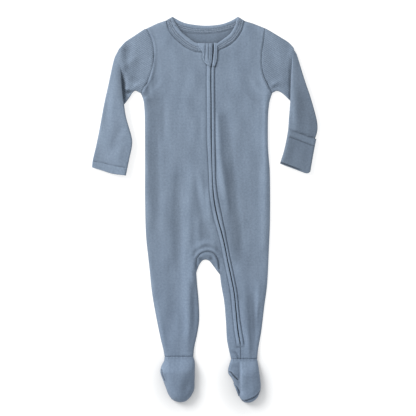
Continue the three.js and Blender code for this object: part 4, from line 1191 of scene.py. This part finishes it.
def forearm_left(x, y):
    """The pressed edge beside the crease, painted lighter; the side that faces away from the light, painted darker as
    shade; and painted shade under the mitten's hem.
    """
    strip = bell(x - 141.2 - 0.02 * (200 - y), 1.7) * smoothstep(y, 110, 140)
    shade = smoothstep(x, 142, 150)
    hem = y - (125.5 - 0.33 * (x - 139))
    under_hem = bell(hem - 0.9, 1.1)
    return 0.35 * strip - 0.5 * under_hem, 0.12 * strip - 0.19 * shade - 0.3 * under_hem


def shaded_mitten(u, x, y):
    added, added_shading = mitten_hem(u, x, y)
    # The whole mitten painted a little darker, as painted shade
    return added, added_shading - 0.15


def sleeves():
    def flat(level):
        return lambda u: np.full_like(u, level)

    upper = dict(sections=along(44), height=upper_height, base=flat(0.0), folds=SLEEVE_FOLDS, material=KNIT_ARM,
                 fold_share=lambda u: 1 - smoothstep(u, 0.72, 0.9), slant=RIB_SLANT)
    return [
        tube("sleeve_upper_right", "sleeve_right_upper", UPPER_RIGHT, extra=elbow_right, **upper),
        tube("sleeve_upper_left", "sleeve_left_upper", UPPER_LEFT, extra=elbow_left, **upper),
        tube("sleeve_lower_right", "sleeve_right_lower", LOWER_RIGHT, along(110), lower_height,
             lower_base(LOWER_RIGHT), LOWER_FOLDS, hem=cuff_hem, extra=forearm_right),
        tube("sleeve_lower_left", "sleeve_left_lower", LOWER_LEFT, along(84), lower_height,
             lower_base(LOWER_LEFT), LOWER_FOLDS, extra=forearm_left),
        tube("cloth_mitten_left", "mitten_left", MITTEN_LEFT, along(56), flat(7.4), flat(0.0), LOWER_FOLDS,
             hem=shaded_mitten),
    ]


def mitten_right():
    patch = coons(
        top=straight((-167, 113), (-120, 111)),
        bottom=through((-178, 69), (-164, 62), (-140, 57.5), (-127, 60)),
        left=through((-167, 113), (-172, 95), (-178, 69)),
        right=through((-120, 111), (-119, 98), (-127, 60)),
    )
    share = np.linspace(0, 1, 24)
    points, quads = blocks_of(patch(share[None], share[:, None]))
    return cloth("cloth_mitten_right", points, quads, np.full(len(points), 1.0), "mitten_right", wall=1.0)


# Feet

FEET = {
    "right": dict(
        ankle=ANKLE_RIGHT_Y, height=17.0,
        left=through((-64, -236.05), (-65, -243), (-68.8, -250), (-71, -258.5), (-69.9, -265), (-66.5, -274),
                     (-62.5, -285), (-58.4, -296)),
        right=through((-18, -236.05), (-15.5, -246), (-15.6, -262), (-16, -277), (-16.6, -289), (-21.6, -299.6)),
        toe=through((-58.4, -296), (-52.4, -304.4), (-45, -308), (-38, -309.2), (-29, -306.9), (-21.6, -299.6)),
    ),
    "left": dict(
        ankle=ANKLE_LEFT_Y, height=16.0,
        left=through((42.6, -240.05), (39.5, -250), (37.8, -257), (38.6, -264), (43, -270), (48, -279.5), (55, -290)),
        right=through((84.4, -240.05), (86, -249), (87.6, -259), (89, -270), (90.2, -281), (89.5, -291)),
        toe=through((55, -290), (55.8, -300), (61.2, -307.6), (69, -310), (77.6, -308), (85, -301.4), (89.5, -291)),
    ),
}
FOOT_FOLDS = [
    (-26, -268, -28, -282, -33, -298, 7.0, -3.0),
    (-52, -246, -50, -262, -48, -280, 8.0, 1.0),
    (-60, -262, -62, -268, -60, -276, 5.0, -1.2),
    (-34, -240, -34, -250, -36, -262, 6.0, 0.8),
    (55.5, -243, 55.8, -258, 55.5, -276, 1.8, -1.5),
    (64, -242, 64, -262, 63, -284, 5.0, 1.6),
    (80, -246, 81, -262, 80, -280, 6.0, -1.0),
    (47, -248, 46, -258, 47, -266, 4.0, 1.0),
]
HEEL_SEAM_RIGHT = through((-68.6, -256), (-67.0, -264), (-63.4, -273))
HEEL_SEAM_LEFT = through((39.2, -259.5), (43, -261.2), (47.4, -266.3), (53.5, -272))
TOE_SEAM_LEFT = through((61, -306), (67, -304.6), (74.5, -302), (82, -298), (89, -290.5))
FOOT_SEAMS = [sampled(c, 30) for c in (HEEL_SEAM_RIGHT, HEEL_SEAM_LEFT, TOE_SEAM_LEFT)]
SOLE_TOP = 1.6


def foot_lines(side):
    return [sampled(FEET[side][k], 40) for k in ("left", "right", "toe")]


def foot_relief(side):
    outline = FEET[side]
    lines = foot_lines(side)

    def at(x, y):
        x, y = np.asarray(x, float), np.asarray(y, float)
        rise = smoothstep(outline["ankle"] - y, 0, 26)
        away = distance_to(lines, x, y)
        folds = folds_at(FOOT_FOLDS, x, y) * (0.3 + 0.7 * rise)
        if side == "left":
            lobe = smoothstep(-x, -57.4, -54.6) * smoothstep(-y, 244, 252)
            edge = bell(x - 59.5, 2.2) * smoothstep(-y, 242, 250) * smoothstep(y, -302, -290)
            folds = folds - 2.7 * lobe * smoothstep(away, 1, 7) + 0.9 * edge
            line = bell(x - 55.6, 1.1) * smoothstep(-y, 242, 248) * smoothstep(y, -290, -274)
            # Painted shade along the fold line and on the lobe, and a painted highlight on the raised edge
            added_shading = -0.2 * line + 0.1 * edge - 0.08 * lobe
        else:
            # Painted shade in a dent, and over the side of the foot that faces away from the light
            added_shading = -0.1 * bell(np.hypot((x + 34) / 8, (y + 284) / 14), 1.0) - 0.08 * smoothstep(x, -40, -18)
        top = FRONT_TOP + (outline["height"] - FRONT_TOP) * rise + folds
        z = SOLE_TOP + 0.2 + (top + ripples(x, y) - SOLE_TOP) * round_share(away, EDGE_ROLL + 8 * rise)
        seams = distance_to(FOOT_SEAMS, x, y)
        z += bells(seams, (0, 0.9, -1.6), (2.2, 1.1, 0.8)) * round_share(away, 2.0)
        ankle = np.abs(y - outline["ankle"])
        z += -0.35 * bell(ankle, 0.9) + pucker(ankle, x, 6.0, 0.25)
        # Painted light and shade: fold ridges lighter, seams darker with lighter ridges beside them, the ankle line a
        # little lighter, and below, the rolled edges darker
        added_shading = added_shading + 0.04 * folds + bells(seams, (0, 0.9, -0.55), (2.2, 1.0, 0.08)) + 0.03 * bell(ankle, 1.2)
        return np.maximum(z, SOLE_TOP + 0.2), added_shading - 0.08 * (1 - round_share(away, 8)) ** 2

    return at


def foot(side):
    f = FEET[side]
    patch = coons(top=straight(f["left"](0.0), f["right"](0.0)), bottom=f["toe"], left=f["left"], right=f["right"])
    fine = np.array([0, 0.006, 0.018, 0.04, 0.07])
    across = np.concatenate([fine, np.linspace(0.1, 0.9, 46), 1 - fine[::-1]])
    down = np.concatenate([fine, np.linspace(0.1, 0.92, 60), 1 - fine[::-1]])
    points, quads = blocks_of(patch(across[None], down[:, None]))
    height, painted_shading = foot_relief(side)(points[:, 0], points[:, 1])
    upper = cloth(f"foot_cloth_{side}", points, quads, height, f"foot_upper_{side}", painted_shading, floor=SOLE_TOP + 0.15)
    under = 1.2 * (1 - round_share(distance_to(foot_lines(side), *points.T), 3.0))
    sole = slab(f"sole_cloth_{side}", points, quads, np.full_like(under, SOLE_TOP), under, f"foot_sole_{side}")
    return upper, sole


# Zip

def zip_tape():
    y = np.linspace(264, ZIP_END_Y, 200)
    across = np.linspace(-TAPE_HALF, TAPE_HALF, 7)
    grid = np.stack([zip_line(y)[:, None] + across[None], np.broadcast_to(y[:, None], (200, 7))], -1)
    points, quads = blocks_of(grid)
    return cloth("zip_tape_cloth", points, quads, np.full(len(points), TAPE_TOP), "zip_tape", material=TAPE,
                 slot="zip_tape", wall=0.9)


def boxes(centres, along_dir, size, bevel=0.25):
    """Small rounded blocks at given places, each turned to a direction."""
    half = np.array(size) / 2
    ring = np.array([[-1, -1 + bevel], [-1, 1 - bevel], [-1 + bevel, 1], [1 - bevel, 1], [1, 1 - bevel],
                     [1, -1 + bevel], [1 - bevel, -1], [-1 + bevel, -1]])
    levels = [(-1, 0.8), (-0.6, 1.0), (0.6, 1.0), (1, 0.75)]
    block = np.vstack([np.column_stack([ring * s, np.full(8, z)]) for z, s in levels]) * half
    side = np.stack([along_dir[:, 1], -along_dir[:, 0]], -1)
    turned = block[None, :, :1] * side[:, None] + block[None, :, 1:2] * along_dir[:, None]
    z = centres[:, None, 2:] + block[None, :, 2:]
    corners = np.concatenate([centres[:, None, :2] + turned, z], -1).reshape(-1, 3)
    low, high = np.arange(8), np.arange(24, 32)
    caps = [low[[0, 1, 2, 3]], low[[0, 3, 4, 7]], low[[4, 5, 6, 7]]]
    caps += [high[[3, 2, 1, 0]], high[[7, 4, 3, 0]], high[[7, 6, 5, 4]]]
    faces = np.vstack([ring_faces(4, 8, False), np.array(caps)])[:, ::-1]
    return corners, (faces[None] + 32 * np.arange(len(centres))[:, None, None]).reshape(-1, 4)


TOOTH_PITCH = 1.9
SLIDER_Y = 240.0
STOP_Y = -208.5


def zip_teeth():
    """Two rows of coil teeth that mesh along the slot."""
    y = np.arange(ZIP_END_Y + 6, 228, TOOTH_PITCH / 2)
    x = zip_line(y) + np.where(np.arange(len(y)) % 2 == 0, -0.5, 0.5)
    slope = (zip_line(y + 0.5) - zip_line(y - 0.5))
    direction = unit(np.column_stack([slope, np.ones(len(y))]))
    centres = np.column_stack([x, y, np.full(len(y), TAPE_TOP + 0.9)])
    corners, faces = boxes(centres, direction, (1.8, 0.8, 1.3), bevel=0.5)
    return make("zip_teeth", corners, faces, TEETH)


def zip_slider():
    """The slider's body and the low ridge on it, mostly under the guard."""
    x = float(zip_line(SLIDER_Y))
    blocks = [((x, SLIDER_Y, TAPE_TOP + 0.9), (3.4, 8.0, 1.5)), ((x, SLIDER_Y + 0.5, TAPE_TOP + 2.1), (1.4, 5.0, 1.0))]
    corners, faces = zip(*[boxes(np.array([place]), np.array([[0.12, 0.99]]), size) for place, size in blocks])
    return make("zip_slider_body", np.vstack(corners), np.vstack([faces[0], faces[1] + 32]), TEETH,
                node="zip_slider")


def zip_stop():
    centre = np.array([[float(zip_line(STOP_Y)), STOP_Y, TAPE_TOP + 1.0]])
    corners, faces = boxes(centre, np.array([[0.1, 0.99]]), (2.6, 3.2, 1.8))
    return make("zip_stop_bar", corners, faces, STOP)


GUARD_LEVEL = 6.4


def zip_guards():
    """The tab folded over the zip's top, and its narrow strip on the other side of the slot."""
    tab = coons(
        top=straight((-10.8, 266.2), (12.6, 266.2)),
        left=through((-10.8, 266.2), (-8.8, 260), (-4.2, 253), (-3.0, 248), (-3.4, 242)),
        right=through((12.6, 266.2), (12.5, 250), (12.0, 238), (9.8, 228)),
        bottom=through((-3.4, 242), (-1.5, 237), (3, 232.2), (9.8, 228)),
    )
    strip = coons(
        top=straight((15.2, 267), (20.2, 266.6)),
        left=through((15.2, 267), (14.8, 250), (14.0, 238), (13.4, 229)),
        right=through((20.2, 266.6), (20.6, 252.5), (20.0, 240), (17.0, 229)),
        bottom=straight((13.4, 229), (17.0, 229)),
    )
    fine = np.array([0, 0.015, 0.04, 0.08])
    shares = np.concatenate([fine, np.linspace(0.13, 0.87, 22), 1 - fine[::-1]])
    pieces = []
    for name, patch, node in (("zip_guard_tab", tab, "zip_guard"), ("zip_guard_edge", strip, "zip_guard_strip")):
        points, quads = blocks_of(patch(shares[None], shares[:, None]))
        t = np.linspace(0, 1, 30)
        edges = [patch(0 * t, t), patch(0 * t + 1, t), patch(t, 0 * t), patch(t, 0 * t + 1)]
        x, y = points.T
        away = distance_to(edges, x, y)
        crease = bell(x - 1.2 - 0.05 * (y - 250), 1.1) + 0.8 * bell(x - 7.0 - 0.02 * (y - 250), 1.0)
        crease = crease * smoothstep(y, 233, 244) if node == "zip_guard" else 0 * x
        stitched = bell(away - 2.1, 0.45)
        z = GUARD_LEVEL + 1.4 * round_share(away, 1.6) + 1.0 * smoothstep(away, 1, 6) - 1.6 * crease - 0.4 * stitched
        z -= 2.2 * smoothstep(y, 258, 267)
        # Painted light and shade: the tab a little lighter overall and at its rim, its creases and its stitch line
        # darker
        painted_shading = 0.08 - 0.34 * crease - 0.16 * stitched + 0.12 * bell(away - 0.9, 0.6)
        pieces.append(cloth(name, points, quads, z, node, painted_shading, wall=0.9))
    return pieces


# Sewing: rows of stitches, each a small thread loop on the cloth

def surface_tree():
    corners, faces, start = [], [], 0
    for points, quads in SURFACES:
        corners += points.tolist()
        faces += (quads + start).tolist()
        start += len(points)
    return BVHTree.FromPolygons(corners, faces, all_triangles=False)


def tops(tree, x, y):
    """Height of the topmost cloth at each place."""
    hits = [tree.ray_cast((a, b, 60.0), (0, 0, -1))[0] for a, b in zip(x.tolist(), y.tolist())]
    return np.array([hit.z if hit is not None else 1.0 for hit in hits])


def stitch_row(tree, path, pitch, size, slant=0.0, sink=0.0):
    """Stitches along a dense path of points, each turned from it by a slant."""
    run = np.concatenate([[0], np.cumsum(np.linalg.norm(np.diff(path, axis=0), axis=1))])

    def along_path(at):
        return np.column_stack([np.interp(at, run, path[:, k]) for k in (0, 1)])

    at = np.arange(pitch / 2, run[-1], pitch)
    direction = unit(along_path(at + 0.5) - along_path(at - 0.5))
    c, k = math.cos(slant), math.sin(slant)
    x, y = along_path(at).T
    centres = np.column_stack([x, y, tops(tree, x, y) - sink])
    return boxes(centres, direction @ np.array([[c, k], [-k, c]]), size, bevel=0.6)


def sew(name, rows, material):
    corners, faces, start = [], [], 0
    for c, f in rows:
        corners.append(c)
        faces.append(f + start)
        start += len(c)
    return make(name, np.vstack(corners), np.vstack(faces), material)


STITCH = (0.5, 1.7, 0.4)
SLANTED = (1.0, 3.0, 0.9)


def dense(curve, start=0.0, end=1.0, count=240):
    return curve(np.linspace(start, end, count))


def between(a, b, share):
    return lambda t: a(t) + (b(t) - a(t)) * share


def offset_path(path, distance):
    tangent = unit(np.gradient(path, axis=0))
    return path + distance * np.stack([-tangent[:, 1], tangent[:, 0]], -1)


def under_guard(path):
    """Places that the zip's tab and its narrow strip hide."""
    return (path[:, 0] > -11.5) & (path[:, 0] < 21.5) & (path[:, 1] < 275)


def stitches():
    tree = surface_tree()
    y = np.linspace(227, ZIP_END_Y, 500)
    rows = [stitch_row(tree, np.column_stack([zip_line(y) + offset, y]), 2.5, STITCH)
            for offset in (-placket_right(y), placket_left(y))]
    rows.append(stitch_row(tree, dense(straight(*BOX_END[0]), count=30), 2.2, STITCH))
    rows.append(stitch_row(tree, offset_path(dense(ARCH), -2.2), 2.6, STITCH))
    for armhole in (ARMHOLE_RIGHT, ARMHOLE_LEFT):
        inner = 2.0 if armhole is ARMHOLE_RIGHT else -2.0
        rows.append(stitch_row(tree, offset_path(dense(armhole, 0.02, 0.98), inner), 2.6, STITCH, sink=0.1))
    for line in CUFF_LINE + MITTEN_LINE:
        a, b = line
        path = a + (b - a) * np.linspace(0.02, 0.98, 60)[:, None]
        rows.append(stitch_row(tree, path, 2.3, STITCH))
    sew("stitches_body", rows, TOPSTITCH)
    seams = []
    for seam, edge in ((NECK_FRONT_RIGHT, BAND_FRONT_RIGHT), (NECK_FRONT_LEFT, BAND_FRONT_LEFT),
                       (NECK_BACK, BAND_BACK)):
        for share in BAND_ROWS:
            path = dense(between(seam, edge, share), 0.02, 0.98)
            path = path[~under_guard(path)]
            seams.append(stitch_row(tree, path, 2.6, SLANTED, slant=0.95, sink=0.05))
    sew("stitches_band", seams, THREAD)
    feet = []
    for side in ("right", "left"):
        f = FEET[side]
        x0, x1 = f["left"](0.0)[0] + 3, f["right"](0.0)[0] - 3
        path = np.column_stack([np.linspace(x0, x1, 60), np.full(60, f["ankle"] - 2.2)])
        feet.append(stitch_row(tree, path, 2.6, STITCH, sink=0.1))
    for curve in (HEEL_SEAM_RIGHT, HEEL_SEAM_LEFT, TOE_SEAM_LEFT):
        feet.append(stitch_row(tree, offset_path(dense(curve, 0.05, 0.95, 60), 1.5), 2.4, STITCH, sink=0.1))
    sew("stitches_feet", feet, TOPSTITCH)


# Build the garment

pieces = [front_panel_right(), front_panel_left(), back_panel(), gusset(), *neck_bands(), *sleeves()]
pieces.append(mitten_right())
pieces += [piece for side in ("right", "left") for piece in foot(side)]
pieces += [zip_tape(), zip_teeth(), zip_slider(), zip_stop(), *zip_guards()]
stitches()

# Room

KEY_PLACE = (-1.7, 1.2, 1.25)
KEY_SIZE, KEY_POWER = 1.3, 62
SKY, SKY_STRENGTH = (0.97, 0.985, 1.0, 1), 0.78
FLOOR_HALF, FLOOR_LEVEL = 4, -0.0004
# Centres of the feet and reach of the painted soft shadows round them on the floor
FOOT_CENTRES = ((-0.043, -0.274), (0.063, -0.277))
FOOT_SHADOW_REACH = (0.029, 0.036)


def link(name, data):
    thing = bpy.data.objects.new(name, data)
    bpy.context.scene.collection.objects.link(thing)
    return thing


def key_light():
    data = bpy.data.lights.new("key", "AREA")
    data.shape, data.size, data.energy = "DISK", KEY_SIZE, KEY_POWER
    light = link("key", data)
    light.location = KEY_PLACE
    x, y, z = (-c for c in KEY_PLACE)
    light.rotation_euler = (math.atan2(math.hypot(x, y), -z), 0, math.atan2(y, x) - math.pi / 2)


def room():
    """A pale floor that glows evenly away from the feet, and glows less near them so their cast shadows show, with a
    painted soft shadow round each foot, under a bright sky and one light.
    """
    floor = bpy.data.meshes.new("floor")
    square = [(-1, -1), (1, -1), (1, 1), (-1, 1)]
    floor.from_pydata([(x * FLOOR_HALF, y * FLOOR_HALF, FLOOR_LEVEL) for x, y in square], [], [(0, 1, 2, 3)])
    n = Nodes("floor_white")
    place = n.place()
    near_feet = n.ramp(n.split(place)[1], -0.27, -0.19, 1.0, 0.0, "SMOOTHSTEP")
    painted_foot_shadow = None
    reach_x, reach_y = FOOT_SHADOW_REACH
    for x, y in FOOT_CENTRES:
        off = n.vector("MULTIPLY_ADD", place, (1 / reach_x, 1 / reach_y, 0), (-x / reach_x, -y / reach_y, 0))
        length = n.new("VectorMath", operation="LENGTH")
        n.fill(length, off)
        # A soft ring of painted shadow round each foot, where the floor's glow drops
        ring = n.ramp(length.outputs["Value"], 0.7, 2.1, 1.0, 0.0, "SMOOTHSTEP")
        painted_foot_shadow = ring if painted_foot_shadow is None else n.math("MAXIMUM", painted_foot_shadow, ring)
    n.shade(n.mix(near_feet, (0.42, 0.42, 0.42), (0.72, 0.72, 0.72)), 0.9)
    n.shader.inputs["Specular IOR Level"].default_value = 0.0
    n.shader.inputs["Emission Color"].default_value = (1, 1, 1, 1)
    glow = n.math("SUBTRACT", 0.68, n.math("MULTIPLY", near_feet, 0.42))
    n.put(n.shader.inputs["Emission Strength"], n.math("SUBTRACT", glow, n.math("MULTIPLY", painted_foot_shadow, 0.24)))
    floor.materials.append(n.material)
    link("floor", floor)
    world = bpy.data.worlds.new("studio")
    bpy.context.scene.world = world
    world.use_nodes = True
    background = world.node_tree.nodes["Background"]
    background.inputs[0].default_value = SKY
    background.inputs[1].default_value = SKY_STRENGTH
    key_light()


CAMERA_AT = (0.0056, 0.0021, 1.855)


def camera():
    data = bpy.data.cameras.new("camera")
    data.lens = 100
    data.sensor_width = 36
    eye = link("camera", data)
    eye.location = CAMERA_AT
    bpy.context.scene.camera = eye


room()
camera()
bpy.context.scene.view_settings.view_transform = "Standard"
